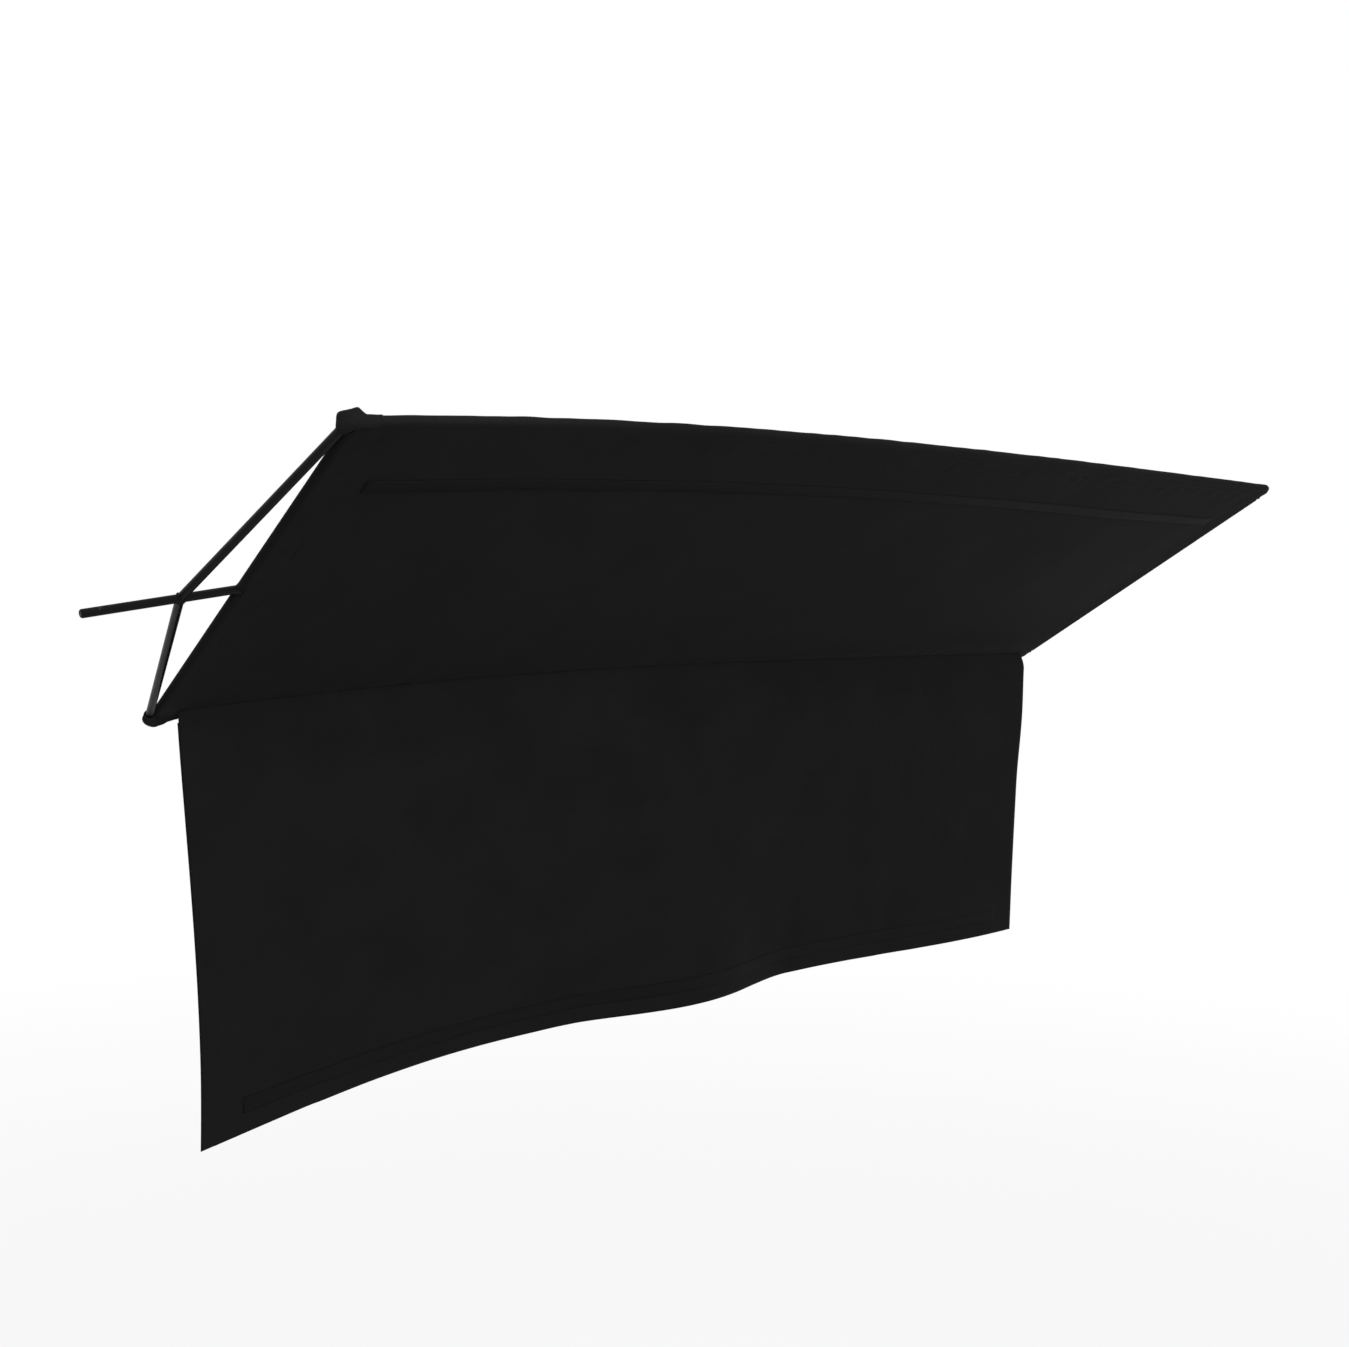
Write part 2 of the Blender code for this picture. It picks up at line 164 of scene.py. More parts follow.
# %% Sizes of the frame
ROD_RADIUS = 0.00475
FRAME_LENGTH = 1.829
HALF_WIDTH = 0.305
BEND_RADIUS = 0.011
CROSS_BAR_INSET = 0.006
PIN_TAIL = 0.0745
PIN_TO_FRAME = 0.092
PIN_CHAMFER = 0.0012
APEX_TO_FRAME = 0.062
BUTT_WELD_FROM_CORNER = 0.024
PANEL_TILT = radians(29.9)
FRAME_RISE = radians(7.64)
PIN_RISE = radians(11.05)
TIP_DROOP = 0.1345


def pin_point(along):
    return Vector((cos(PIN_RISE), 0, sin(PIN_RISE))) * along


def cantilever(share):
    """Shape of an evenly loaded beam held at one end, from 0 at its root to 1 at its tip."""
    return share ** 2 * (6 - 4 * share + share ** 2) / 3


ACROSS = (Matrix.Rotation(-FRAME_RISE, 3, "Y") @ Matrix.Rotation(-PANEL_TILT, 3, "X")
          @ Vector((0, 1, 0)))


def rail_direction(along):
    share = along / FRAME_LENGTH
    slope = TIP_DROOP / FRAME_LENGTH * 4 * share * (3 - 3 * share + share ** 2) / 3
    return Vector((cos(FRAME_RISE), 0, sin(FRAME_RISE) - slope)).normalized()


def upward(along):
    return rail_direction(along).cross(ACROSS)


def frame_point(along, across, lift=0.0):
    """Point of the held frame: along its rails, across them, and above the rods' centres."""
    spine = Vector((cos(FRAME_RISE), 0, sin(FRAME_RISE))) * along
    droop = Vector((0, 0, TIP_DROOP * cantilever(along / FRAME_LENGTH)))
    return pin_point(PIN_TO_FRAME) + spine - droop + ACROSS * across + upward(along) * lift


print("outer end at", [round(c, 3) for c in frame_point(FRAME_LENGTH, 0)])

# %% [markdown]
# ## Enamelled rods
# Each side rod is one bar: it leaves the pin as a brace, bends round into the long rail and
# bends again at the outer end. A curve with a round bevel is the direct way to a bent bar,
# and it is made a mesh at once so that every piece is the same kind of thing.

# %% Black enamel
# Sprayed enamel on steel, its gloss worn to satin: near black, with the faint ripple of sprayed
# paint, hazier and clearer patches a thumb's width apart, and small rubs where the pin is
# held in use and bare steel shows through.
def make_enamel(name, worn):
    material, tree, shader = new_material(name, "#08090b", 0.40)
    shader.inputs["Specular IOR Level"].default_value = 0.10
    place = add(tree, "ShaderNodeTexCoord").outputs["Object"]
    ripple = add(tree, "ShaderNodeTexNoise", inputs={"Vector": place, "Scale": 420.0, "Detail": 2.0})
    dust = add(tree, "ShaderNodeTexNoise", inputs={"Vector": place, "Scale": 60.0, "Detail": 6.0})
    rough = add(tree, "ShaderNodeMapRange", inputs={
        "Value": dust.outputs["Fac"], "From Min": 0.35, "From Max": 0.75, "To Min": 0.36,
        "To Max": 0.46})
    tree.links.new(rough.outputs["Result"], shader.inputs["Roughness"])
    bump = add(tree, "ShaderNodeBump", inputs={
        "Height": ripple.outputs["Fac"], "Strength": 0.12, "Distance": 0.0004})
    tree.links.new(bump.outputs["Normal"], shader.inputs["Normal"])
    if worn:
        scratch = add(tree, "ShaderNodeTexNoise", inputs={
            "Vector": place, "Scale": 700.0, "Detail": 6.0, "Roughness": 0.75})
        bites = add(tree, "ShaderNodeTexNoise", inputs={
            "Vector": place, "Scale": 85.0, "Detail": 3.0})
        along = add(tree, "ShaderNodeSeparateXYZ", inputs={"Vector": place})
        near = add(tree, "ShaderNodeMapRange", inputs={
            "Value": along.outputs["X"], "From Min": -0.030, "From Max": 0.022, "To Min": 1.0,
            "To Max": 0.0})
        near.interpolation_type = "SMOOTHSTEP"
        mixed = add(tree, "ShaderNodeMath", {"operation": "MULTIPLY"},
                    {0: scratch.outputs["Fac"], 1: bites.outputs["Fac"]})
        shown = add(tree, "ShaderNodeMath", {"operation": "MULTIPLY"},
                    {0: mixed.outputs["Value"], 1: near.outputs["Result"]})
        bare = add(tree, "ShaderNodeMapRange", inputs={
            "Value": shown.outputs["Value"], "From Min": 0.350, "From Max": 0.390})
        colour = add(tree, "ShaderNodeMix", {"data_type": "RGBA"},
                     {0: bare.outputs["Result"], 6: linear("#08090b"), 7: linear("#5c5a57")})
        tree.links.new(colour.outputs[2], shader.inputs["Base Color"])
        tree.links.new(bare.outputs["Result"], shader.inputs["Metallic"])
    return material


enamel = make_enamel("black_enamel_on_steel", False)
pin_enamel = make_enamel("black_enamel_rubbed_by_clamps", True)
print("enamel:", enamel.name, "and", pin_enamel.name)

# %% Bend and sweep the rods
BEND_STEPS = 12
RAIL_STEPS = 60
ROD_SIDES = 28


def bend(before, corner, after):
    """Points of the round bend that a rod takes at a corner."""
    inward = (before - corner).normalized()
    onward = (after - corner).normalized()
    half_angle = inward.angle(onward) / 2
    reach = BEND_RADIUS / tan(half_angle)
    centre = corner + (inward + onward).normalized() * (BEND_RADIUS / sin(half_angle))
    first = corner + inward * reach - centre
    last = corner + onward * reach - centre
    swing = first.rotation_difference(last)
    return [centre + Quaternion().slerp(swing, i / BEND_STEPS) @ first for i in range(BEND_STEPS + 1)]


def butt_point(side):
    """Where the end bar is welded to the short end of a side rod."""
    return frame_point(FRAME_LENGTH, side * (HALF_WIDTH - BUTT_WELD_FROM_CORNER))


def side_rod_path(side):
    """Centre line of a side rod: brace, bend, drooping rail, outer bend and its short end."""
    apex = pin_point(PIN_TO_FRAME - APEX_TO_FRAME)
    inner = frame_point(0, side * HALF_WIDTH)
    outer = frame_point(FRAME_LENGTH, side * HALF_WIDTH)
    rail = [frame_point(FRAME_LENGTH * i / RAIL_STEPS, side * HALF_WIDTH)
            for i in range(1, RAIL_STEPS)]
    butt = butt_point(side)
    return [apex] + bend(apex, inner, rail[0]) + rail + bend(rail[-1], outer, butt) + [butt]


def tube(name, points, radius, material, sides=ROD_SIDES, closed=False):
    """A round bar along a list of points, as a mesh."""
    curve = bpy.data.curves.new(name, "CURVE")
    curve.dimensions = "3D"
    curve.bevel_depth = radius
    curve.bevel_resolution = (sides - 4) // 2
    curve.use_fill_caps = not closed
    spline = curve.splines.new("POLY")
    spline.points.add(len(points) - 1)
    spline.use_cyclic_u = closed
    for target, point in zip(spline.points, points):
        target.co = (*point, 1.0)
    guide = bpy.data.objects.new(name, curve)
    bpy.context.scene.collection.objects.link(guide)
    mesh = bpy.data.meshes.new_from_object(guide.evaluated_get(bpy.context.evaluated_depsgraph_get()))
    bpy.data.objects.remove(guide, do_unlink=True)
    merge_doubles(mesh, 0.00001)
    mesh.name = name
    mesh.materials.clear()
    piece = new_object(name, mesh, material)
    mesh.set_sharp_from_angle(angle=radians(45))
    return piece


def stand_for(piece, body, slot, *nodes):
    """The piece rides on its body, and hides the CAD nodes that it stands for. The slot is not used.
    """
    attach(piece, body)
    if nodes:
        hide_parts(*nodes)


cross_reach = HALF_WIDTH - ROD_RADIUS / 2
bars = {"near_side_rod": side_rod_path(-1), "far_side_rod": side_rod_path(1),
        "cross_bar": [frame_point(CROSS_BAR_INSET, side * cross_reach) for side in (-1, 1)],
        "end_bar": [butt_point(side) for side in (-1, 1)]}
for node, line in bars.items():
    stand_for(tube(node + "_enamelled", line, ROD_RADIUS, enamel), "frame", "black_enamel", node)
bar_length = sum((there - here).length for line in bars.values()
                 for here, there in zip(line, line[1:]))
print("rods:", round(bar_length, 2), "m of bar")

# %% [markdown]
# ## Mounting pin
# The pin is what the cutter is held by: a straight bar with a turned chamfer on its free end,
# run through the point where the braces meet and welded to the middle of the cross bar.
# A profile turned round its axis gives the chamfer a crisp edge.

# %% Turn the pin
PIN_SIDES = 48
PIN_EDGE = 0.0002
pin_length = PIN_TAIL + PIN_TO_FRAME + CROSS_BAR_INSET
pin_profile = [(ROD_RADIUS - PIN_CHAMFER, 0.0), (ROD_RADIUS - PIN_EDGE, PIN_CHAMFER * 0.8),
               (ROD_RADIUS, PIN_CHAMFER * 1.3), (ROD_RADIUS, pin_length)]
work = bmesh.new()
rings = []
pin_turn = pin_point(1).to_track_quat("Z", "Y")
for radius, height in pin_profile:
    ring = []
    for k in range(PIN_SIDES):
        angle = 2 * pi * k / PIN_SIDES
        spot = Vector((radius * cos(angle), radius * sin(angle), height))
        ring.append(work.verts.new(pin_point(-PIN_TAIL) + pin_turn @ spot))
    rings.append(ring)
for low_ring, high_ring in zip(rings, rings[1:]):
    for k in range(PIN_SIDES):
        nxt = (k + 1) % PIN_SIDES
        work.faces.new((low_ring[k], low_ring[nxt], high_ring[nxt], high_ring[k]))
work.faces.new(rings[0][::-1])
work.faces.new(rings[-1])
bmesh.ops.recalc_face_normals(work, faces=work.faces)
pin_mesh = bpy.data.meshes.new("pin_turned")
work.to_mesh(pin_mesh)
work.free()
pin = new_object("pin_turned", pin_mesh, pin_enamel)
pin_mesh.set_sharp_from_angle(angle=radians(35))
stand_for(pin, "frame", "black_enamel", "pin")
print("pin:", round(pin_length * 1000, 1), "mm long")

# %% [markdown]
# ## Cover cloth
# The cover is one piece of black duvetyne, cut as a rectangle with its corners notched out and
# a slot for the pin. It is pulled flat under the rods, turned up round each of them, and sewn
# down on itself with two rows of stitches. A grid bent by one function keeps it one cloth:
# each point is found from its place in the flat cut, and the notches are left out of the grid.

# %% Black duvetyne
# Duvetyne is a cotton twill with a brushed nap. It is close to black and drinks light, with a
# dry grey bloom where the nap is rubbed. Real twill lines are 0.6 mm apart, too fine to show
# from two metres, so they are drawn 1.6 mm apart and faint, under a coarser brushed nap.
TWILL_PITCH = 0.0016
WAVE_LENGTH_AT_SCALE_ONE = 0.6283


def make_duvetyne(name, colour, rubbed_colour):
    material, tree, shader = new_material(name, colour, 0.93)
    shader.inputs["Specular IOR Level"].default_value = 0.06
    shader.inputs["Sheen Weight"].default_value = 0.015
    shader.inputs["Sheen Roughness"].default_value = 0.45
    cut = add(tree, "ShaderNodeUVMap", {"uv_map": "cut"}).outputs["UV"]
    twill = add(tree, "ShaderNodeTexWave", {"bands_direction": "DIAGONAL"},
                {"Vector": cut, "Scale": WAVE_LENGTH_AT_SCALE_ONE / TWILL_PITCH, "Distortion": 1.2,
                 "Detail": 2.0, "Detail Scale": 0.6})
    brushed = add(tree, "ShaderNodeMapping", inputs={"Vector": cut, "Scale": (1.0, 0.22, 1.0)})
    nap = add(tree, "ShaderNodeTexNoise", inputs={
        "Vector": brushed.outputs["Vector"], "Scale": 900.0, "Detail": 5.0, "Roughness": 0.65})
    patches = add(tree, "ShaderNodeTexNoise", inputs={
        "Vector": cut, "Scale": 9.0, "Detail": 5.0, "Roughness": 0.55})
    height = add(tree, "ShaderNodeMix", {"data_type": "FLOAT"},
                 {0: 0.72, 2: twill.outputs["Fac"], 3: nap.outputs["Fac"]})
    bump = add(tree, "ShaderNodeBump", inputs={
        "Height": height.outputs[0], "Strength": 0.35, "Distance": 0.0005})
    tree.links.new(bump.outputs["Normal"], shader.inputs["Normal"])
    rub = add(tree, "ShaderNodeAttribute", {"attribute_name": "rub"})
    worn = add(tree, "ShaderNodeMath", {"operation": "MULTIPLY"},
               {0: rub.outputs["Fac"], 1: nap.outputs["Fac"]})
    bloom = add(tree, "ShaderNodeMapRange", inputs={
        "Value": patches.outputs["Fac"], "From Min": 0.35, "From Max": 0.70, "To Min": 0.0,
        "To Max": 0.30})
    share = add(tree, "ShaderNodeMath", {"operation": "ADD", "use_clamp": True},
                {0: worn.outputs["Value"], 1: bloom.outputs["Result"]})
    tone = add(tree, "ShaderNodeMix", {"data_type": "RGBA"},
               {0: share.outputs["Value"], 6: linear(colour), 7: linear(rubbed_colour)})
    tree.links.new(tone.outputs[2], shader.inputs["Base Color"])
    return material


duvetyne = make_duvetyne("black_brushed_cotton_duvetyne", "#161515", "#201e1e")
print("cloth:", duvetyne.name)

# %% Lay out the cover's stations
CLOTH_THICKNESS = 0.0009
PLY_STEP = 0.0011
WRAP_RADIUS = ROD_RADIUS + 0.0001 + CLOTH_THICKNESS / 2
RAIL_WRAP_START = 0.012
BAR_WRAP_START = 0.030
HEM_START = 0.011
HEM_END = 0.034
OUTER_STITCH = 0.0135
INNER_STITCH = 0.0310
PIN_SLOT = 0.0132
COVER_SAG = 0.006
SAG_EDGE = 0.060
COLUMN_STEP = 0.0052
WRAP_STEPS = 12

hem_lift = -WRAP_RADIUS + PLY_STEP
leave = pi + atan2(-hem_lift, HEM_START) - acos(WRAP_RADIUS / hypot(HEM_START, hem_lift))
wrap_turns = [-pi / 2 + (leave + pi / 2) * i / WRAP_STEPS for i in range(1, WRAP_STEPS + 1)]
hem_reach = [HEM_START, 0.0125, OUTER_STITCH, 0.0150, 0.0190, 0.0230, 0.0270, 0.0295, INNER_STITCH,
             HEM_END]
wrap_profile = ([(WRAP_RADIUS * cos(t), WRAP_RADIUS * sin(t)) for t in wrap_turns]
                + [(-reach, hem_lift) for reach in hem_reach])
wrap_flat = [0.0]
for here, there in zip([(0.0, -WRAP_RADIUS)] + wrap_profile, wrap_profile):
    wrap_flat.append(wrap_flat[-1] + hypot(there[0] - here[0], there[1] - here[1]))

edge_steps = [0.002, 0.004, 0.007, 0.010, 0.012, 0.0135, 0.015, 0.018, 0.021, 0.024, 0.027, 0.0295,
              0.031, 0.0325, 0.036, 0.042]
inner_steps = ([0.050, 0.060, 0.072, 0.086, 0.102, 0.120] + [0.140 + 0.020 * i for i in range(8)]
               + [HALF_WIDTH - PIN_SLOT / 2, HALF_WIDTH])
half_across = [0.0] + edge_steps[:12] + [0.030] + edge_steps[12:] + inner_steps
across_panel = sorted({round(s, 5) for h in half_across for s in (h - HALF_WIDTH, HALF_WIDTH - h)})
middle_start, middle_end = CROSS_BAR_INSET + 0.045, FRAME_LENGTH - 0.045
middle_steps = round((middle_end - middle_start) / COLUMN_STEP)
middle = [middle_start + (middle_end - middle_start) * i / middle_steps
          for i in range(middle_steps + 1)]
along_panel = ([CROSS_BAR_INSET] + [CROSS_BAR_INSET + s for s in edge_steps] + middle
               + [FRAME_LENGTH - s for s in edge_steps[::-1]] + [FRAME_LENGTH])
# A station is its place in the panel, then how far round the wrap it is, and on which side.
wrap_numbers = range(1, len(wrap_profile) + 1)
along_stations = ([(CROSS_BAR_INSET, k, -1) for k in reversed(wrap_numbers)]
                  + [(a, 0, 0) for a in along_panel] + [(FRAME_LENGTH, k, 1) for k in wrap_numbers])
across_stations = ([(-HALF_WIDTH, k, -1) for k in reversed(wrap_numbers)]
                   + [(a, 0, 0) for a in across_panel] + [(HALF_WIDTH, k, 1) for k in wrap_numbers])
print("cover grid:", len(along_stations), "by", len(across_stations))

# %% Bend the cut round the frame
PUCKER = 0.0007
SLEEVE_CREASE = 0.0005
DRAG_LINE = 0.0016
# The quilting along an end reads the noise this far off, so that it is not the rails' own.
END_SHIFT = 3
SLACK = 0.0030


def smooth_step(value):
    value = min(max(value, 0.0), 1.0)
    return value * value * (3 - 2 * value)


def ripple(x, y, z=0.0):
    return noise.noise(Vector((x, y, z + 0.37)))


def from_edges(along, across):
    """How far a point of the panel is from the nearer rail, and from the nearer end."""
    return HALF_WIDTH - abs(across), min(along - CROSS_BAR_INSET, FRAME_LENGTH - along)


def cover_lift(along, across):
    """Height of the cloth under the rods: tangent below them, and sagging between them."""
    from_rail, from_end = from_edges(along, across)
    across_share = smooth_step((from_rail - SAG_EDGE) / (HALF_WIDTH - SAG_EDGE))
    along_share = smooth_step((from_end - SAG_EDGE) / HALF_WIDTH)
    return -WRAP_RADIUS - COVER_SAG * across_share * along_share


def seam_pucker(run, inward):
    """The small quilting between two rows of stitches."""
    band = smooth_step((inward - 0.008) / 0.008) * smooth_step((0.050 - inward) / 0.018)
    quilting = ripple(run / 0.017, inward / 0.03) + 0.5 * ripple(run / 0.008, inward / 0.02, 5)
    return PUCKER * band * quilting


def drape_relief(along, across):
    """Slack in the cloth: broad soft waves, and drag lines that run in from the corners."""
    from_rail, from_end = from_edges(along, across)
    nearest = min(from_rail, from_end)
    clear = smooth_step((nearest - 0.030) / 0.10)
    corner = exp(-hypot(from_rail, from_end) / 0.16) * smooth_step((nearest - 0.004) / 0.05)
    across_drag = from_end - from_rail if along < FRAME_LENGTH / 2 else from_rail - from_end
    drag = ripple(across_drag / 0.055, (from_end + from_rail) / 0.25, 2 + (across > 0))
    waves = ripple(along / 0.42, across / 0.16, 9) + 0.45 * ripple(along / 0.13, across / 0.30, 3)
    return DRAG_LINE * corner * drag + SLACK * clear * waves


def panel_lift(along, across):
    """Height of the flat of the cover, with all its relief."""
    from_rail, from_end = from_edges(along, across)
    end = 1 if along > FRAME_LENGTH / 2 else -1
    pucker = seam_pucker(along, from_rail) + seam_pucker(across + END_SHIFT * end, from_end)
    return cover_lift(along, across) + pucker + drape_relief(along, across)


def rounded(along, across):
    """Draws the panel's square outer corners in to the round bends of the rods."""
    past_end = BEND_RADIUS - (FRAME_LENGTH - along)
    past_side = BEND_RADIUS - (HALF_WIDTH - abs(across))
    if past_end <= 0 or past_side <= 0:
        return along, across
    pull = 1 - max(past_end, past_side) / hypot(past_end, past_side)
    return along - past_end * pull, across - past_side * pull * (1 if across > 0 else -1)


def turned(station, run_from_corner):
    """How far outward and up a wrap station is, with its hem mitred at the corner."""
    outward, lift = wrap_profile[station[1] - 1]
    return max(outward, -run_from_corner), lift


def cover_point(along_station, across_station):
    along, along_wrap, end = along_station
    across, across_wrap, side = across_station
    from_rail, from_end = from_edges(along, across)
    if across_wrap:
        outward, lift = turned(across_station, from_end)
        pucker = seam_pucker(along, -outward)
        crease = 0
        if pucker == 0:
            crease = SLEEVE_CREASE * ripple(along / 0.030 + outward / 0.02, lift / 0.01, side)
        return frame_point(along, side * (HALF_WIDTH + outward + crease), lift + pucker + crease)
    if along_wrap:
        outward, lift = turned(along_station, from_rail)
        pucker = seam_pucker(across + END_SHIFT * end, -outward)
        return frame_point(along, across, lift + pucker) + rail_direction(along) * outward * end
    return frame_point(*rounded(along, across), panel_lift(along, across))


def cover_kept(row, column):
    """Whether a square of the grid is cloth: not in a corner notch, nor in the pin's slot."""
    along_pair, across_pair = along_stations[row:row + 2], across_stations[column:column + 2]
    in_end_wrap = any(s[1] for s in along_pair)
    in_rail_wrap = any(s[1] for s in across_pair)
    along = (along_pair[0][0] + along_pair[1][0]) / 2
    across = (across_pair[0][0] + across_pair[1][0]) / 2
    if in_end_wrap and in_rail_wrap:
        return False
    if in_end_wrap:
        if along < FRAME_LENGTH / 2:
            return HALF_WIDTH - abs(across) > RAIL_WRAP_START and abs(across) > PIN_SLOT / 2
        return HALF_WIDTH - abs(across) > BAR_WRAP_START
    if in_rail_wrap:
        return RAIL_WRAP_START < along - CROSS_BAR_INSET and RAIL_WRAP_START < FRAME_LENGTH - along
    return True


def cover_flat(row, column):
    along, along_wrap, end = along_stations[row]
    across, across_wrap, side = across_stations[column]
    return along + end * wrap_flat[along_wrap], across + side * wrap_flat[across_wrap]


def paint_rub(piece, amount):
    """Stores how rubbed the nap is at each point, for the cloth's colour."""
    layer = piece.data.attributes.new("rub", "FLOAT", "POINT")
    layer.data.foreach_set("value", [amount(v.co) for v in piece.data.vertices])


def sewn_strip(name, rows, flat, material=duvetyne, thickness=CLOTH_THICKNESS):
    """A piece of cloth or tape through a grid of points."""
    return thicken(new_object(name, grid_mesh(name, rows, flat), material), thickness)


cover_points = [[cover_point(a, c) for c in across_stations] for a in along_stations]
cover_mesh = grid_mesh("cover_duvetyne", cover_points, cover_flat, cover_kept)
cover_mesh.flip_normals()
cover = thicken(new_object("cover_duvetyne", cover_mesh, duvetyne), CLOTH_THICKNESS)


def cover_rub(place):
    """Most rubbed along the outermost line of each wrapped rod."""
    from_pin = place - pin_point(PIN_TO_FRAME)
    outside = abs(from_pin.dot(ACROSS)) - HALF_WIDTH
    return 0.9 * smooth_step(outside / WRAP_RADIUS)


paint_rub(cover, cover_rub)
stand_for(cover, "frame", "black_duvetyne", "cover_panel", "near_rail_wrap", "far_rail_wrap",
          "outer_end_wrap", "pin_end_wrap_near", "pin_end_wrap_far")
print("cover faces:", len(cover_mesh.polygons))

# %% [markdown]
# ## Corner pockets
# At the pin end the cloth is gathered over the round bend of each rod and sewn shut, and the
# brace comes out of its mouth. A ring of points carried along the bent rod makes such a sleeve,
# looser than the wrap beside it and creased. Pinched folds stand up on it, three on the near
# pocket and one low one on the far pocket.

# %% Gather the pockets
POCKET_SIDES = 30
POCKET_UP_BRACE = 0.005
POCKET_ALONG_RAIL = 0.042
POCKET_RADIUS = 0.0066
POCKET_STEP = 0.0015
POCKET_PATH_POINTS = 12 + BEND_STEPS
# Each standing fold of the pockets is its place along the rod, its half length, its height and
# how far outward it leans.
NEAR_FOLDS = ((0.0165, 0.0085, 0.0060, 0.6), (0.0080, 0.0120, 0.0036, 0.6),
              (0.0027, 0.0095, 0.0056, 0.6))
FAR_FOLDS = ((0.0165, 0.0085, 0.0010, 0.6),)


def path_by_length(points, step):
    """Points at even steps along a path, with the distance of each from its start."""
    spaced, walked, wanted = [], 0.0, 0.0
    for here, there in zip(points, points[1:]):
        length = (there - here).length
        while wanted <= walked + length:
            spaced.append((here.lerp(there, (wanted - walked) / length), wanted))
            wanted += step
        walked += length
    return spaced


def make_pocket(name, side, folds, droop):
    path = side_rod_path(side)
    corner_distance = (path[1] - path[0]).length
    spaced = path_by_length(path[:POCKET_PATH_POINTS], POCKET_STEP)
    stretch = [(p, d - corner_distance) for p, d in spaced
               if -POCKET_UP_BRACE <= d - corner_distance <= POCKET_ALONG_RAIL]
    outward = ACROSS * side
    first = (path[1] - path[0]).cross(rail_direction(0)).normalized() * side
    rows = []
    for index, (centre, distance) in enumerate(stretch):
        ahead = stretch[min(index + 1, len(stretch) - 1)][0] - stretch[max(index - 1, 0)][0]
        second = ahead.cross(first).normalized()
        near_rail = smooth_step((distance - 0.010) / 0.030)
        mouth = 1 - smooth_step((distance + POCKET_UP_BRACE) / 0.006)
        row = []
        for k in range(POCKET_SIDES + 1):
            turn = 2 * pi * k / POCKET_SIDES
            direction = first * cos(turn) + second * sin(turn)
            hanging = droop * max(-direction.z, 0) * (1 - near_rail) * (1 - mouth)
            radius = POCKET_RADIUS - 0.0007 * near_rail - 0.0010 * mouth + hanging
            crease = 0.0006 * ripple(distance / 0.006 + cos(turn), sin(turn) * 1.2, side * 4)
            standing = 0.0
            for place, reach, height, lean in folds:
                crest = upward(0) + outward * lean
                crest = (crest - crest.project(ahead)).normalized()
                beside = max(1 - abs(distance - place) / reach, 0.0)
                standing += height * beside * max(direction.dot(crest), 0.0) ** 8
            row.append(centre + direction * (radius + crease + standing))
        rows.append(row)
    arc = 2 * pi * POCKET_RADIUS
    mesh = grid_mesh(name, rows, lambda r, c: (r * POCKET_STEP, c * arc / POCKET_SIDES))
    merge_doubles(mesh, 0.00002)
    pocket = thicken(new_object(name, mesh, duvetyne), CLOTH_THICKNESS)
    soften = pocket.modifiers.new("soften", "SUBSURF")
    soften.levels = soften.render_levels = 1
    paint_rub(pocket, lambda place: 0.7)
    stand_for(pocket, "frame", "black_duvetyne")
    return pocket


near_pocket = make_pocket("near_corner_pocket", -1, NEAR_FOLDS, 0.0)
far_pocket = make_pocket("far_corner_pocket", 1, FAR_FOLDS, 0.0048)
print("pockets:", near_pocket.name, far_pocket.name)

# %% [markdown]
# ## Hanging flap
# The flap is a straight piece of the same cloth. Its top edge is sewn to the underside of the
# cover along the drooping rail, and the rest hangs by its own weight in a few long soft folds.
# A formula lays the cloth out near its final folds, and then a cloth simulation lets it hang,
# so that the folds fall as weight makes them. How far a point may move is capped, because the
# hem has to stay over the hem of the CAD model.

# %% Lay out the flap
SEAM_INSET = 0.023
FLANGE_WIDTH = 0.010
HEADER_DROP = 0.008
FLAP_FROM_PIN_END = 0.028
FLAP_FROM_OUTER_END = 0.021
HEM_FALL_PIN_SIDE = 0.531
HEM_FALL_OUTER_SIDE = 0.548
CORNER_SWING_PIN_SIDE = -0.0672
CORNER_SWING_OUTER_SIDE = -0.0210
SWING_POWER = 1.37
# Each fold is its place along the hem, its half width there, and its depth in metres.
FOLDS = ((0.247, 0.413, 0.087), (0.496, 0.155, -0.0512), (0.637, 0.333, 0.0552))
CORNER_PULL = 0.009
FLAP_COLUMNS = 180
FLAP_ROWS = 54


def between(low, high, share):
    return low + (high - low) * share


def steps(start, end, count):
    return [between(start, end, i / count) for i in range(count + 1)]


def seam_point(share, across_offset=0.0):
    """Point of the line along which the flap is sewn to the cover's underside."""
    along = between(FLAP_FROM_PIN_END, FRAME_LENGTH - FLAP_FROM_OUTER_END, share)
    return frame_point(along, HALF_WIDTH - SEAM_INSET + across_offset, -WRAP_RADIUS - PLY_STEP)


def fold_point(share):
    """Point of the straight line about which the flap swings."""
    return seam_point(0).lerp(seam_point(1), share) - Vector((0, 0, HEADER_DROP))


def bell(value, centre, half_width):
    distance = min(abs(value - centre) / half_width, 1.0)
    return (1 + cos(pi * distance)) / 2


def hem_swing(share):
    """How far the hem swings towards the far side, from fold to fold."""
    corners = between(CORNER_SWING_PIN_SIDE, CORNER_SWING_OUTER_SIDE, share)
    return corners + sum(depth * bell(share, centre, reach) for centre, reach, depth in FOLDS)


def gather(share, fall):
    """How far the cloth draws in from its two sides as it hangs."""
    pin_side = 0.0480 * fall - 0.0225 * fall ** 3
    outer_side = -0.0530 * fall + 0.0062 * bell(fall, 0.22, 0.25)
    pulled = smooth_step((share - 0.97) / 0.03) * (1 - smooth_step(fall / 0.035))
    return between(pin_side, outer_side, share) - CORNER_PULL * pulled


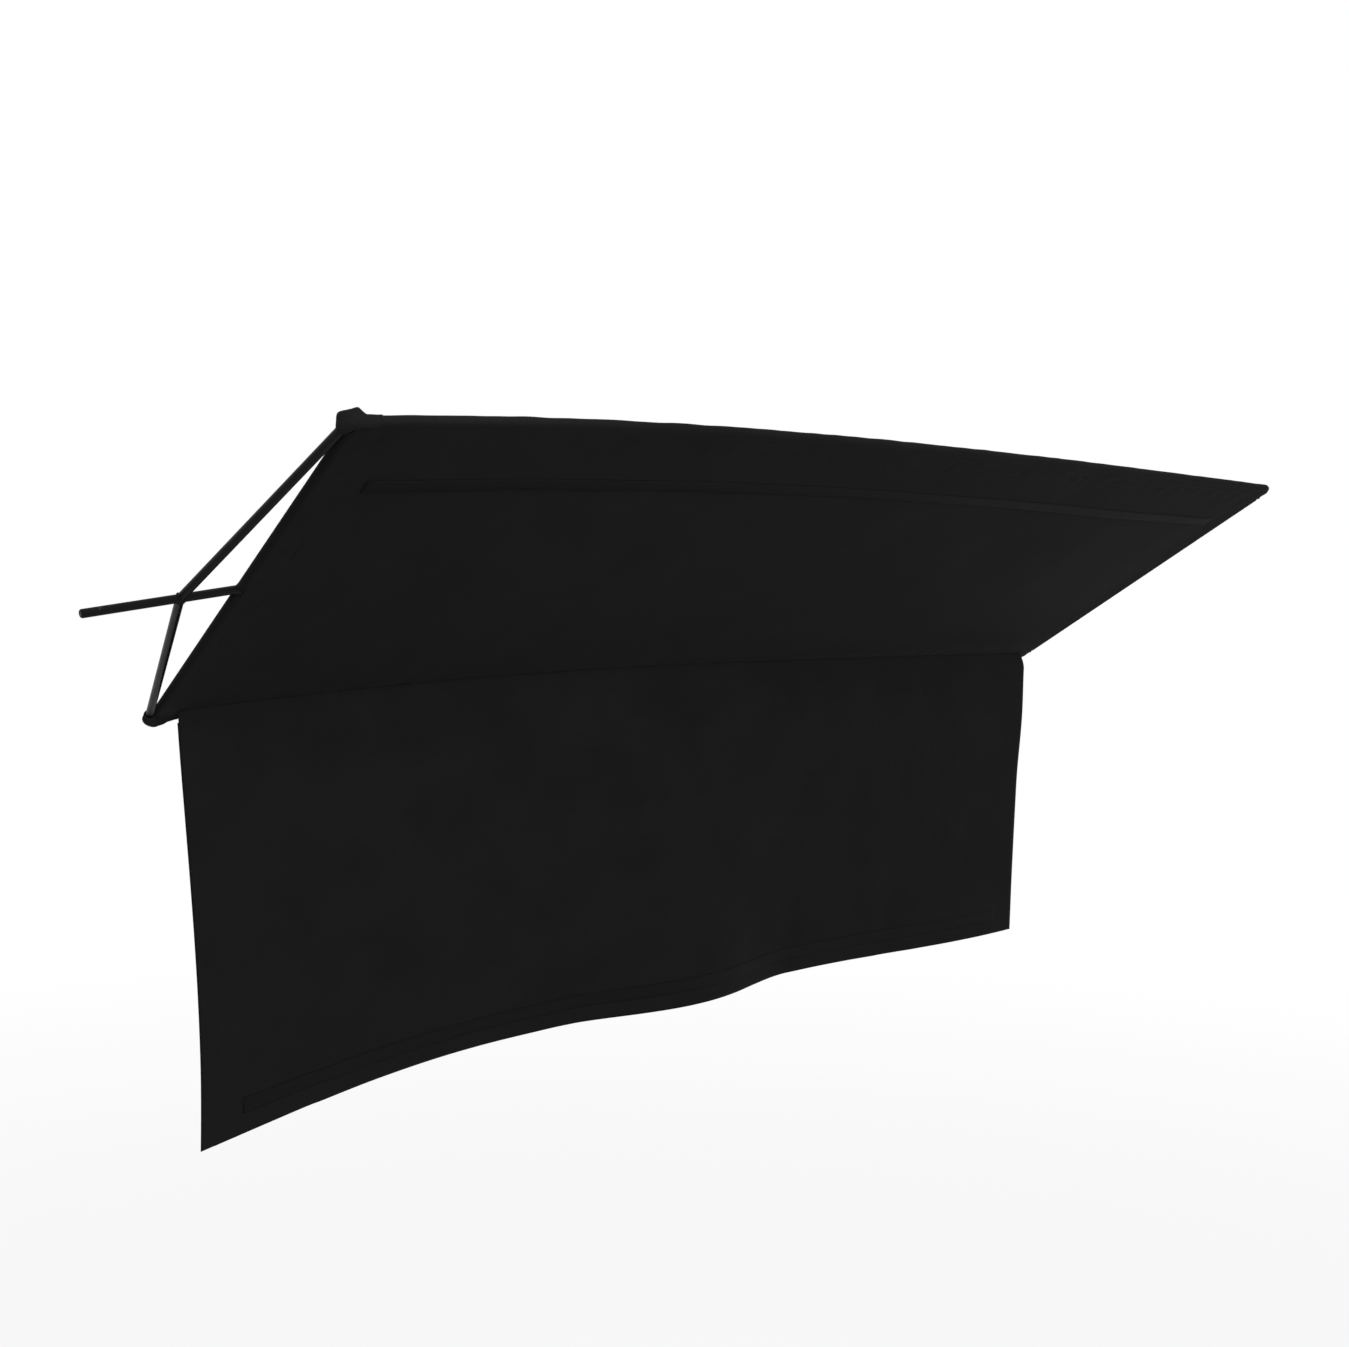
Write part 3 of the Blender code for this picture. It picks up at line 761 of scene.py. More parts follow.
def flap_point(share, fall):
    """Point of the hanging flap: share of its length, and fall from the fold line to the hem."""
    top = fold_point(share)
    hem_fall = between(HEM_FALL_PIN_SIDE, HEM_FALL_OUTER_SIDE, share)
    drop = (top.z - seam_point(share).z + hem_fall) * fall
    swing = hem_swing(share) * fall ** SWING_POWER
    height = (drop ** 2 - swing ** 2) ** 0.5 if drop > abs(swing) else drop
    return top + Vector((gather(share, fall), swing, -height))


def fullness(share, fall):
    """Small soft folds that spread from the sewn edge and from the corners."""
    spread = fall ** 0.6 * (1 - 0.25 * fall)
    small = 0.0022 * ripple(share * 17 + 0.6 * fall, fall * 0.8, 1) * spread
    wide = 0.0040 * ripple(share * 7, fall * 0.9, 4) * spread
    return (small + wide) * (1 - smooth_step((fall - 0.80) / 0.15))


flap_rows = []
for r in range(FLAP_ROWS + 1):
    row = []
    for c in range(FLAP_COLUMNS + 1):
        point = flap_point(c / FLAP_COLUMNS, r / FLAP_ROWS)
        row.append(point + Vector((0, fullness(c / FLAP_COLUMNS, r / FLAP_ROWS), 0)))
    flap_rows.append(row)
print("flap laid out:", FLAP_COLUMNS, "by", FLAP_ROWS)

# %% Let it hang
HANG_FRAMES = 30
MOVE_CAP = 0.009
EDGE_CAP = 0.0012


def hang(rows):
    """Cloth simulation of a sheet pinned along its first row, back as a grid of points."""
    columns = len(rows[0])
    sheet = bpy.data.objects.new("hanging", grid_mesh("hanging", rows, lambda r, c: (c, r)))
    bpy.context.scene.collection.objects.link(sheet)
    sewn = sheet.vertex_groups.new(name="sewn")
    sewn.add(list(range(columns)), 1.0, "REPLACE")
    cloth = sheet.modifiers.new("hang", "CLOTH")
    settings = cloth.settings
    settings.quality = 8
    settings.mass = 0.02
    settings.tension_stiffness = 60
    settings.compression_stiffness = 60
    settings.shear_stiffness = 12
    settings.bending_stiffness = 4.0
    settings.air_damping = 4
    settings.vertex_group_mass = "sewn"
    cloth.collision_settings.use_collision = False
    cloth.point_cache.frame_start = 1
    cloth.point_cache.frame_end = HANG_FRAMES
    scene = bpy.context.scene
    for step in range(1, HANG_FRAMES + 1):
        scene.frame_set(step)
    settled = sheet.evaluated_get(bpy.context.evaluated_depsgraph_get()).to_mesh()
    points = [v.co.copy() for v in settled.vertices]
    bpy.data.objects.remove(sheet, do_unlink=True)
    scene.frame_set(1)
    return [points[r * columns:(r + 1) * columns] for r in range(len(rows))]


hung_rows = hang(flap_rows)
moves = [(h - f).length for hung, laid in zip(hung_rows, flap_rows) for h, f in zip(hung, laid)]
for r, (hung, laid) in enumerate(zip(hung_rows, flap_rows)):
    for c, target in enumerate(hung):
        move = target - laid[c]
        from_edge = min(c / FLAP_COLUMNS, 1 - c / FLAP_COLUMNS, 0.3 * (1 - r / FLAP_ROWS))
        cap = between(EDGE_CAP, MOVE_CAP, smooth_step(from_edge / 0.06))
        hung[c] = laid[c] + move * (cap / (cap + move.length))
print("simulation moved points by up to", round(max(moves) * 1000, 1), "mm before the cap")

# %% Refine the hung grid
def refined(line):
    """Twice as many points along a line, by the four-point rule, which bends smoothly."""
    padded = [line[0] * 2 - line[1]] + line + [line[-1] * 2 - line[-2]]
    finer = []
    for before, here, there, after in zip(padded, padded[1:], padded[2:], padded[3:]):
        finer += [here, (here + there) * (9 / 16) - (before + after) / 16]
    return finer + [line[-1]]


def transposed(rows):
    return [list(column) for column in zip(*rows)]


finer_rows = [refined(row) for row in hung_rows]
hung_rows = transposed([refined(column) for column in transposed(finer_rows)])
sheet_columns, sheet_rows = 2 * FLAP_COLUMNS, 2 * FLAP_ROWS
print("hung sheet:", len(hung_rows[0]), "by", len(hung_rows))

# %% [markdown]
# ## The flap as one cloth with its sewn edge
# The strip above the fold line belongs to the frame and the sheet below it swings, but it is
# one cloth. So it is one mesh, from the flange sewn on the cover to the hem.


def header_row(across_offset, drop):
    """A row above the fold line: its offset across the flange, then how far it has come down."""
    return [seam_point(s, across_offset).lerp(fold_point(s), drop) + Vector((gather(s, 0), 0, 0))
            for s in steps(0, 1, sheet_columns)]


flange_offsets = (FLANGE_WIDTH, FLANGE_WIDTH * 0.7, FLANGE_WIDTH * 0.35, 0.001)
header_rows = ([header_row(offset, 0) for offset in flange_offsets]
               + [header_row(0.0, drop) for drop in (0.06, 0.2, 0.4, 0.6, 0.8)])
cloth_rows = header_rows + hung_rows


def flat_fall(row):
    """How far down the flat cut a row of the flap's cloth is, along the middle column."""
    return sum((cloth_rows[k + 1][FLAP_COLUMNS] - cloth_rows[k][FLAP_COLUMNS]).length
               for k in range(row))


row_falls = [flat_fall(r) for r in range(len(cloth_rows))]
flap_length = (fold_point(1) - fold_point(0)).length
# The flap and its hems each have their own stretch of the cut, so that none repeats the
# nap of another.
FLAP_CUT, BOTTOM_HEM_CUT, SIDE_HEM_CUT = 2.0, 2.6, 3.0
flap = sewn_strip("flap_duvetyne", cloth_rows,
                  lambda r, c: (c / sheet_columns * flap_length, row_falls[r] + FLAP_CUT))
paint_rub(flap, lambda place: 0.0)


def swing_with_fold(piece, slot, *nodes):
    """Bakes the piece's placement into its mesh, and hides the CAD nodes that it stands for."""
    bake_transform(piece)
    if nodes:
        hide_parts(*nodes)


swing_with_fold(flap, "black_duvetyne", "flap", "flap_header")
print("flap cut:", round(flap_length, 3), "by", round(row_falls[-1], 3), "m")

# %% [markdown]
# ## Hems of the flap
# The raw edges of the sheet are turned to the back and sewn down. Each hem is a narrow strip
# that follows the hung cloth one ply behind it, and rolls round the edge to meet the front.
# Its points are read from the hung sheet itself, so a hem lies in every fold of the cloth.

# %% Read places on the hung sheet
BOTTOM_HEM_WIDTH = 0.020
SIDE_HEM_WIDTH = 0.0177
HEM_FALL = (HEM_FALL_PIN_SIDE + HEM_FALL_OUTER_SIDE) / 2


def on_flap(share, fall, behind=0.0):
    """Point of the hung sheet, or at a distance behind it. It reaches a little past the edges."""
    column, row = share * sheet_columns, fall * sheet_rows
    c = min(max(int(column), 0), sheet_columns - 1)
    r = min(max(int(row), 0), sheet_rows - 1)
    top_left, top_right = hung_rows[r][c], hung_rows[r][c + 1]
    low_left, low_right = hung_rows[r + 1][c], hung_rows[r + 1][c + 1]
    top = top_left.lerp(top_right, column - c)
    low = low_left.lerp(low_right, column - c)
    sideways = top_right - top_left + low_right - low_left
    normal = sideways.cross(top_left - low_left + top_right - low_right)
    return top.lerp(low, row - r) - normal.normalized() * behind


def hem_section(width):
    """Section of a turned hem: distance in from the edge, and distance behind the sheet."""
    return ([(width * share, PLY_STEP) for share in (1, 0.8, 0.55, 0.3, 0.1)]
            + [(0.0002, PLY_STEP), (-0.0007, PLY_STEP * 0.8), (-0.0010, PLY_STEP * 0.35),
               (-0.0008, 0.0)])


def hem_wave(run, inset, width):
    """The hem's slight pucker between its fold and its stitches."""
    wave = max(ripple(run / 0.012, inset / width, 6), -0.5)
    return 0.0003 * wave * smooth_step(inset / (width * 0.3))


print("fold line at", [round(c, 4) for c in fold_point(0.5)])

# %% Turn the three hems
HEM_COLUMNS = 360
SIDE_HEM_ROWS = 110
bottom_section = hem_section(BOTTOM_HEM_WIDTH)
hem_shares = steps(0, 1, HEM_COLUMNS)
hem_start = (SIDE_HEM_WIDTH + 0.0003) / flap_length
bottom_rows = [[on_flap(between(hem_start, 1 - hem_start, s), 1 - inset / HEM_FALL,
                        behind + hem_wave(s * flap_length, inset, BOTTOM_HEM_WIDTH))
                for s in hem_shares] for inset, behind in bottom_section]
bottom_hem = sewn_strip("bottom_hem_duvetyne", bottom_rows, lambda r, c: (
    hem_shares[c] * flap_length, BOTTOM_HEM_CUT - bottom_section[r][0]))
paint_rub(bottom_hem, lambda place: 0.55)
swing_with_fold(bottom_hem, "black_duvetyne", "flap_bottom_hem")

side_section = hem_section(SIDE_HEM_WIDTH)
side_falls = ([(0.012 + 0.988 * r / SIDE_HEM_ROWS, 1.0) for r in range(SIDE_HEM_ROWS + 1)]
              + [(1 + 0.0007 / HEM_FALL, 0.8), (1 + 0.0010 / HEM_FALL, 0.35)])
for name, node, at_start in (("pin_side_hem_duvetyne", "flap_pin_side_hem", True),
                             ("outer_side_hem_duvetyne", "flap_outer_side_hem", False)):
    side_rows = []
    for inset, behind in side_section:
        share = inset / flap_length
        side_rows.append([on_flap(share if at_start else 1 - share, fall,
                                  (behind + hem_wave(fall * HEM_FALL, inset, SIDE_HEM_WIDTH)) * roll)
                          for fall, roll in side_falls])
    side_hem = sewn_strip(name, side_rows, lambda r, c: (
        side_section[r][0] + SIDE_HEM_CUT, side_falls[c][0] * HEM_FALL))
    paint_rub(side_hem, lambda place: 0.4)
    swing_with_fold(side_hem, "black_duvetyne", node)

# %% [markdown]
# ## Closure tapes
# A band of hook tape near the flap's hem meets a band of loop tape under the cover, and holds
# the flap folded away. The tape is woven nylon: two flat selvedges with the pile between them.

# %% Hook and loop tape
# Nylon pile, a little harder and shinier than the cloth. Real hooks are 0.3 mm thick and stand
# in rows 1 mm apart. They are drawn as bumps 1.2 mm apart, which just show at arm's length.
def make_tape(name, pile_scale, pile_height):
    material, tree, shader = new_material(name, "#131314", 0.75)
    shader.inputs["Specular IOR Level"].default_value = 0.06
    cut = add(tree, "ShaderNodeUVMap", {"uv_map": "cut"}).outputs["UV"]
    pile = add(tree, "ShaderNodeTexVoronoi", inputs={
        "Vector": cut, "Scale": pile_scale, "Randomness": 0.35})
    fuzz = add(tree, "ShaderNodeTexNoise", inputs={"Vector": cut, "Scale": 2600.0, "Detail": 3.0})
    height = add(tree, "ShaderNodeMix", {"data_type": "FLOAT"},
                 {0: 0.35, 2: pile.outputs["Distance"], 3: fuzz.outputs["Fac"]})
    bump = add(tree, "ShaderNodeBump", {"invert": True},
               {"Height": height.outputs[0], "Strength": 0.6, "Distance": pile_height})
    tree.links.new(bump.outputs["Normal"], shader.inputs["Normal"])
    return material


hook_nylon = make_tape("black_nylon_hook_tape", 1 / 0.0012, 0.0009)
loop_nylon = make_tape("black_nylon_loop_tape", 1 / 0.0020, 0.0006)

TAPE_WIDTH = 0.020
TAPE_THICKNESS = 0.0008
PILE_RISE = 0.0005
TAPE_FROM_HEM = 0.004
TAPE_STEP = CLOTH_THICKNESS / 2 + TAPE_THICKNESS / 2 + 0.0001
# Across the tape: place in its width, and how far the pile stands above the selvedge
tape_section = ([(0.0, 0.0), (0.11, 0.0)]
                + [(place, 1.0) for place in (0.14, 0.32, 0.50, 0.68, 0.86)]
                + [(0.89, 0.0), (1.0, 0.0)])
TAPE_COLUMNS = 340
LOOP_FROM_END = HALF_WIDTH / 5
HOOK_START, HOOK_END = 0.035, 0.965
tape_shares = steps(0, 1, TAPE_COLUMNS)


def cover_under(along, across, below=0.0):
    """Point at a distance below the cover's middle plane."""
    return frame_point(along, across, panel_lift(along, across) - below)


fold_across = HALF_WIDTH - SEAM_INSET + HEADER_DROP * sin(PANEL_TILT)
closed_across = fold_across - (HEM_FALL_PIN_SIDE - HEADER_DROP) + BOTTOM_HEM_WIDTH + TAPE_FROM_HEM
loop_rows = [[cover_under(between(LOOP_FROM_END, FRAME_LENGTH - LOOP_FROM_END, s),
                          closed_across + across * TAPE_WIDTH, TAPE_STEP + pile * PILE_RISE / 2)
              for s in tape_shares] for across, pile in tape_section]
loop_length, hook_length = FRAME_LENGTH - 2 * LOOP_FROM_END, flap_length * (HOOK_END - HOOK_START)


def cut_tape(name, rows, length, nylon):
    """A tape with its own length of weave as its cut."""
    return sewn_strip(name, rows, lambda r, c: (
        tape_shares[c] * length, tape_section[r][0] * TAPE_WIDTH), nylon, TAPE_THICKNESS)


loop_tape = cut_tape("loop_tape_nylon", loop_rows, loop_length, loop_nylon)
stand_for(loop_tape, "frame", "black_nylon_tape", "loop_tape")

tape_low = 1 - (BOTTOM_HEM_WIDTH + TAPE_FROM_HEM) / HEM_FALL
tape_high = tape_low - TAPE_WIDTH / HEM_FALL
hook_rows = [[on_flap(between(HOOK_START, HOOK_END, s), between(tape_high, tape_low, down),
                      -TAPE_STEP - pile * PILE_RISE / 2)
              for s in tape_shares] for down, pile in tape_section]
hook_tape = cut_tape("hook_tape_nylon", hook_rows, hook_length, hook_nylon)
swing_with_fold(hook_tape, "black_nylon_tape", "hook_tape")
print("tapes:", round(loop_length, 2), "m of loop and", round(hook_length, 2), "m of hook")

# %% [markdown]
# ## Stitches and weld ripples
# Both repeat one small shape along a line: a lockstitch every few millimetres of a seam, and a
# frozen ripple every millimetre of a weld. One Geometry Nodes tree does both. It spaces points
# along a line, sets an egg-shaped grain on each, turns it along the line with a little
# unevenness, and makes the whole one real mesh.

# %% Build the tree that repeats a grain along a line
def make_grain_tree():
    tree = bpy.data.node_groups.new("grains_along_line", "GeometryNodeTree")
    tree.interface.new_socket("Line", in_out="INPUT", socket_type="NodeSocketGeometry")
    for name, default in (("Pitch", 0.004), ("Grain Length", 0.003), ("Grain Width", 0.0008),
                          ("Grain Height", 0.0006), ("Unevenness", 0.1)):
        socket = tree.interface.new_socket(name, in_out="INPUT", socket_type="NodeSocketFloat")
        socket.default_value = default
    seed = tree.interface.new_socket("Seed", in_out="INPUT", socket_type="NodeSocketInt")
    seed.default_value = 3
    tree.interface.new_socket("Finish", in_out="INPUT", socket_type="NodeSocketMaterial")
    tree.interface.new_socket("Grains", in_out="OUTPUT", socket_type="NodeSocketGeometry")
    given = tree.nodes.new("NodeGroupInput").outputs
    line = add(tree, "GeometryNodeMeshToCurve", inputs={"Mesh": given["Line"]})
    spaced = add(tree, "GeometryNodeResampleCurve", {"mode": "LENGTH"},
                 {"Curve": line.outputs["Curve"], "Length": given["Pitch"]})
    along = add(tree, "GeometryNodeInputTangent")
    facing = add(tree, "FunctionNodeAlignRotationToVector", {"axis": "X"},
                 {"Vector": along.outputs["Tangent"]})
    low = add(tree, "ShaderNodeMath", {"operation": "MULTIPLY"}, {0: given["Unevenness"], 1: -1.0})
    lowest = add(tree, "ShaderNodeCombineXYZ", inputs={axis: low.outputs[0] for axis in "XYZ"})
    highest = add(tree, "ShaderNodeCombineXYZ", inputs={axis: given["Unevenness"] for axis in "XYZ"})
    uneven = add(tree, "FunctionNodeRandomValue", {"data_type": "FLOAT_VECTOR"},
                 {0: lowest.outputs[0], 1: highest.outputs[0], "Seed": given["Seed"]})
    turned_grain = add(tree, "FunctionNodeRotateRotation", {"rotation_space": "LOCAL"},
                       {"Rotation": facing.outputs["Rotation"], "Rotate By": uneven.outputs[0]})
    egg = add(tree, "GeometryNodeMeshUVSphere", inputs={"Segments": 6, "Rings": 4, "Radius": 0.5})
    size = add(tree, "ShaderNodeCombineXYZ", inputs={
        "X": given["Grain Length"], "Y": given["Grain Width"], "Z": given["Grain Height"]})
    smooth = add(tree, "GeometryNodeSetShadeSmooth", inputs={"Geometry": egg.outputs["Mesh"]})
    grain = add(tree, "GeometryNodeTransform", inputs={
        "Geometry": smooth.outputs["Geometry"], "Scale": size.outputs[0]})
    placed = add(tree, "GeometryNodeInstanceOnPoints",
                 inputs={"Points": spaced.outputs["Curve"], "Instance": grain.outputs["Geometry"],
                         "Rotation": turned_grain.outputs["Rotation"]})
    real = add(tree, "GeometryNodeRealizeInstances", inputs={
        "Geometry": placed.outputs["Instances"]})
    finished = add(tree, "GeometryNodeSetMaterial", inputs={
        "Geometry": real.outputs["Geometry"], "Material": given["Finish"]})
    result = tree.nodes.new("NodeGroupOutput")
    tree.links.new(finished.outputs["Geometry"], result.inputs["Grains"])
    return tree


grain_tree = make_grain_tree()
print("tree inputs:", [s.name for s in grain_tree.interface.items_tree if s.in_out == "INPUT"])


# %% Run the tree on a set of lines
def grains(name, lines, material, **sizes):
    """A mesh of grains along lines, each a list of points. A closed line repeats its first point."""
    points, edges = [], []
    for line in lines:
        first = len(points)
        points += line
        edges += [(first + k, first + k + 1) for k in range(len(line) - 1)]
    mesh = bpy.data.meshes.new(name)
    mesh.from_pydata(points, edges, [])
    guide = bpy.data.objects.new(name, mesh)
    bpy.context.scene.collection.objects.link(guide)
    repeat = guide.modifiers.new("repeat", "NODES")
    repeat.node_group = grain_tree
    keys = {s.name: s.identifier for s in grain_tree.interface.items_tree if s.in_out == "INPUT"}
    repeat[keys["Finish"]] = material
    for label, value in sizes.items():
        repeat[keys[label.replace("_", " ").title()]] = value
    made = bpy.data.meshes.new_from_object(guide.evaluated_get(bpy.context.evaluated_depsgraph_get()))
    bpy.data.objects.remove(guide, do_unlink=True)
    made.name = name
    piece = bpy.data.objects.new(name, made)
    bpy.context.scene.collection.objects.link(piece)
    return piece


# %% Black thread
# Bonded polyester thread: smooth and a little glossier than the cloth it holds.
thread, thread_tree, thread_shader = new_material("black_polyester_thread", "#161617", 0.5)
thread_shader.inputs["Specular IOR Level"].default_value = 0.08
thread_place = add(thread_tree, "ShaderNodeTexCoord").outputs["Object"]
twist = add(thread_tree, "ShaderNodeTexNoise", inputs={
    "Vector": thread_place, "Scale": 1500.0, "Detail": 2.0})
thread_bump = add(thread_tree, "ShaderNodeBump", inputs={
    "Height": twist.outputs["Fac"], "Strength": 0.4, "Distance": 0.0002})
thread_tree.links.new(thread_bump.outputs["Normal"], thread_shader.inputs["Normal"])
print("thread:", thread.name)

# %% Sew the cover
STITCH = {"pitch": 0.0042, "grain_length": 0.0034, "grain_width": 0.0008, "grain_height": 0.0006,
          "unevenness": 0.07}
GRAIN_FACES = 24
RAIL_SEAM_STEPS, END_SEAM_STEPS = 340, 110
SEAM_END = 0.020
FLANGE_SEAMS = (0.0025, 0.0080)
below_cloth = CLOTH_THICKNESS / 2


cover_lines = []


def sew(run, place, shift, inward):
    """A row of stitches as it shows under the panel, and on the hem above, in the same quilting."""
    cover_lines.append([cover_under(*place(a), below_cloth) for a in run])
    cover_lines.append([
        frame_point(*place(a), hem_lift + seam_pucker(a + shift, inward) + below_cloth) for a in run])


end_seam_reach = HALF_WIDTH - BAR_WRAP_START - 0.004
for side in (-1, 1):
    for inward in (OUTER_STITCH, INNER_STITCH):
        sew(steps(CROSS_BAR_INSET + SEAM_END, FRAME_LENGTH - SEAM_END, RAIL_SEAM_STEPS),
            lambda a: (a, side * (HALF_WIDTH - inward)), 0, inward)
for inward in (OUTER_STITCH, INNER_STITCH):
    sew(steps(-end_seam_reach, end_seam_reach, END_SEAM_STEPS),
        lambda a: (FRAME_LENGTH - inward, a), END_SHIFT, inward)
    for side in (-1, 1):
        sew(steps(side * (PIN_SLOT / 2 + 0.002), side * end_seam_reach, END_SEAM_STEPS // 2),
            lambda a: (CROSS_BAR_INSET + inward, a), -END_SHIFT, inward)
cover_stitches = grains("cover_stitches", cover_lines, thread, **STITCH)
stand_for(cover_stitches, "frame", "black_duvetyne")
print("cover stitches:", len(cover_stitches.data.polygons) // GRAIN_FACES)

# %% Sew the flap's top edge and the loop tape
flange_face = WRAP_RADIUS + PLY_STEP + below_cloth
flange_lines = []
for offset in FLANGE_SEAMS:
    line = [between(FLAP_FROM_PIN_END, FRAME_LENGTH - FLAP_FROM_OUTER_END, s)
            for s in steps(0.004, 0.996, RAIL_SEAM_STEPS)]
    across = HALF_WIDTH - SEAM_INSET + offset
    flange_lines.append([frame_point(a, across, -flange_face) for a in line])
TAPE_SEAMS = (0.055, 0.945)
tape_face = TAPE_STEP + TAPE_THICKNESS / 2
loop_run = steps(LOOP_FROM_END + 0.003, FRAME_LENGTH - LOOP_FROM_END - 0.003, RAIL_SEAM_STEPS)
loop_lines = [[cover_under(a, closed_across + across * TAPE_WIDTH, face) for a in loop_run]
              for across in TAPE_SEAMS for face in (tape_face, -below_cloth)]
flange_stitches = grains("flange_stitches", flange_lines, thread, **STITCH)
stand_for(flange_stitches, "frame", "black_duvetyne")
loop_stitches = grains("loop_tape_stitches", loop_lines, thread, **STITCH)
stand_for(loop_stitches, "frame", "black_duvetyne")
print("flange and tape stitches:", len(flange_stitches.data.polygons) // GRAIN_FACES)

# %% Sew the hems and the hook tape
BOTTOM_SEAM, SIDE_SEAM = 0.0175, 0.0155
SIDE_SEAM_STEPS = 120
hem_lines = []
hem_in = 1 - BOTTOM_SEAM / HEM_FALL
for behind in (-below_cloth, PLY_STEP + below_cloth):
    hem_lines.append([on_flap(s, hem_in, behind) for s in steps(0.012, 0.988, HEM_COLUMNS)])
    for share in (SIDE_SEAM / flap_length, 1 - SIDE_SEAM / flap_length):
        hem_lines.append([on_flap(share, f, behind) for f in steps(0.02, 0.99, SIDE_SEAM_STEPS)])
hook_lines = [[on_flap(s, between(tape_high, tape_low, down), behind)
               for s in steps(0.037, 0.963, RAIL_SEAM_STEPS)]
              for down in TAPE_SEAMS for behind in (-tape_face, below_cloth)]
hem_stitches = grains("hem_stitches", hem_lines, thread, **STITCH)
swing_with_fold(hem_stitches, "black_duvetyne")
hook_stitches = grains("hook_tape_stitches", hook_lines, thread, **STITCH)
swing_with_fold(hook_stitches, "black_duvetyne")
print("hem stitches:", len(hem_stitches.data.polygons) // GRAIN_FACES)

# %% [markdown]
# ## Welds
# The braces are welded to the pin, the pin to the cross bar, the cross bar to the bent rods and
# the end bar to the ends of the outer bends. Each weld is a bead that follows the line where
# two round bars meet, with the ripples that the torch leaves. The line is found exactly: from
# each point round the first bar, how far along its axis the surface of the second one lies.

# %% Find where two bars meet
WELD_POINTS = 28
WELD_BEAD_RADIUS = 0.0014
WELD_STANDS_OFF = 1.01
WELD_SOUGHT_FROM = 0.03
weld_turns = [2 * pi * k / WELD_POINTS for k in range(WELD_POINTS)]


def meeting_line(start, direction, other_start, other_direction):
    """Loop where a bar from start along direction meets the surface of another bar."""
    along = direction.normalized()
    other = other_direction.normalized()
    first = along.orthogonal().normalized()
    second = along.cross(first)
    loop = []
    for turn in weld_turns:
        base = start + (first * cos(turn) + second * sin(turn)) * ROD_RADIUS - other_start
        flat_base, flat_along = base - other * base.dot(other), along - other * along.dot(other)
        a, b = flat_along.dot(flat_along), flat_base.dot(flat_along)
        c = flat_base.dot(flat_base) - (ROD_RADIUS * WELD_STANDS_OFF) ** 2
        reach = (-b + max(b * b - a * c, 0.0) ** 0.5) / a
        loop.append(other_start + base + along * reach)
    return loop


def ring_round(centre, ahead, sideways):
    """Loop round a bar where another is butted to its end."""
    return [centre + (ahead * cos(t) + sideways * sin(t)) * ROD_RADIUS for t in weld_turns]


# %% Run the beads
weld_loops = {"pin_weld": meeting_line(pin_point(0), -pin_point(1), frame_point(CROSS_BAR_INSET, 0),
                                       ACROSS)}
for label, side in (("near", -1), ("far", 1)):
    path = side_rod_path(side)
    weld_loops[label + "_brace_weld"] = meeting_line(path[0], path[1] - path[0], path[0],
                                                     pin_point(1))
    bar_end = frame_point(CROSS_BAR_INSET, side * (HALF_WIDTH - WELD_SOUGHT_FROM))
    rail_spot = frame_point(CROSS_BAR_INSET, side * HALF_WIDTH)
    weld_loops[label + "_cross_bar_weld"] = meeting_line(bar_end, -ACROSS * side, rail_spot,
                                                         rail_direction(0))
    weld_loops[label + "_end_bar_weld"] = ring_round(butt_point(side), rail_direction(FRAME_LENGTH),
                                                     upward(FRAME_LENGTH))
for name, loop in weld_loops.items():
    bead = tube(name, loop, WELD_BEAD_RADIUS, enamel, sides=10, closed=True)
    stand_for(bead, "frame", "black_enamel")
weld_ripples = grains("weld_ripples", [loop + loop[:1] for loop in weld_loops.values()], enamel,
                      pitch=0.0011, grain_length=0.0009, grain_width=0.0035, grain_height=0.0035,
                      unevenness=0.12)
stand_for(weld_ripples, "frame", "black_enamel")
print("welds:", len(weld_loops))

# %% [markdown]
# ## The two cloths
# The cover and the flap are the two cloths, each with the small pieces sewn on it.

print("declared:", cover.name, flap.name)

# %% [markdown]
# ## Floor and light
# A pale floor lies below, 2.2 m under the pin. For the camera and for what the
# enamel reflects, it turns to white with distance, so that it meets the white world without a
# line and still keeps the soft shadow of the cutter. Three large soft lamps were placed by
# trial until the cloth's tones came right: broad and even from the front, low enough that the
# cover casts no shadow on the flap, with one behind and above that lifts the far edges.

# %% Lay the floor
FLOOR_DROP = 2.2
FLOOR_REACH = 30
WHITE_STARTS, WHITE_ENDS = 3.0, 9.0


def seen_directly(tree):
    """1 for what is seen, straight or by a mirror or glass, and 0 for light that falls on things."""
    path_kind = add(tree, "ShaderNodeLightPath")
    straight = add(tree, "ShaderNodeMath", {"operation": "MAXIMUM"},
                   {0: path_kind.outputs["Is Camera Ray"],
                    1: path_kind.outputs["Is Transmission Ray"]})
    either = add(tree, "ShaderNodeMath", {"operation": "MAXIMUM"},
                 {0: straight.outputs["Value"], 1: path_kind.outputs["Is Glossy Ray"]})
    return either.outputs["Value"]


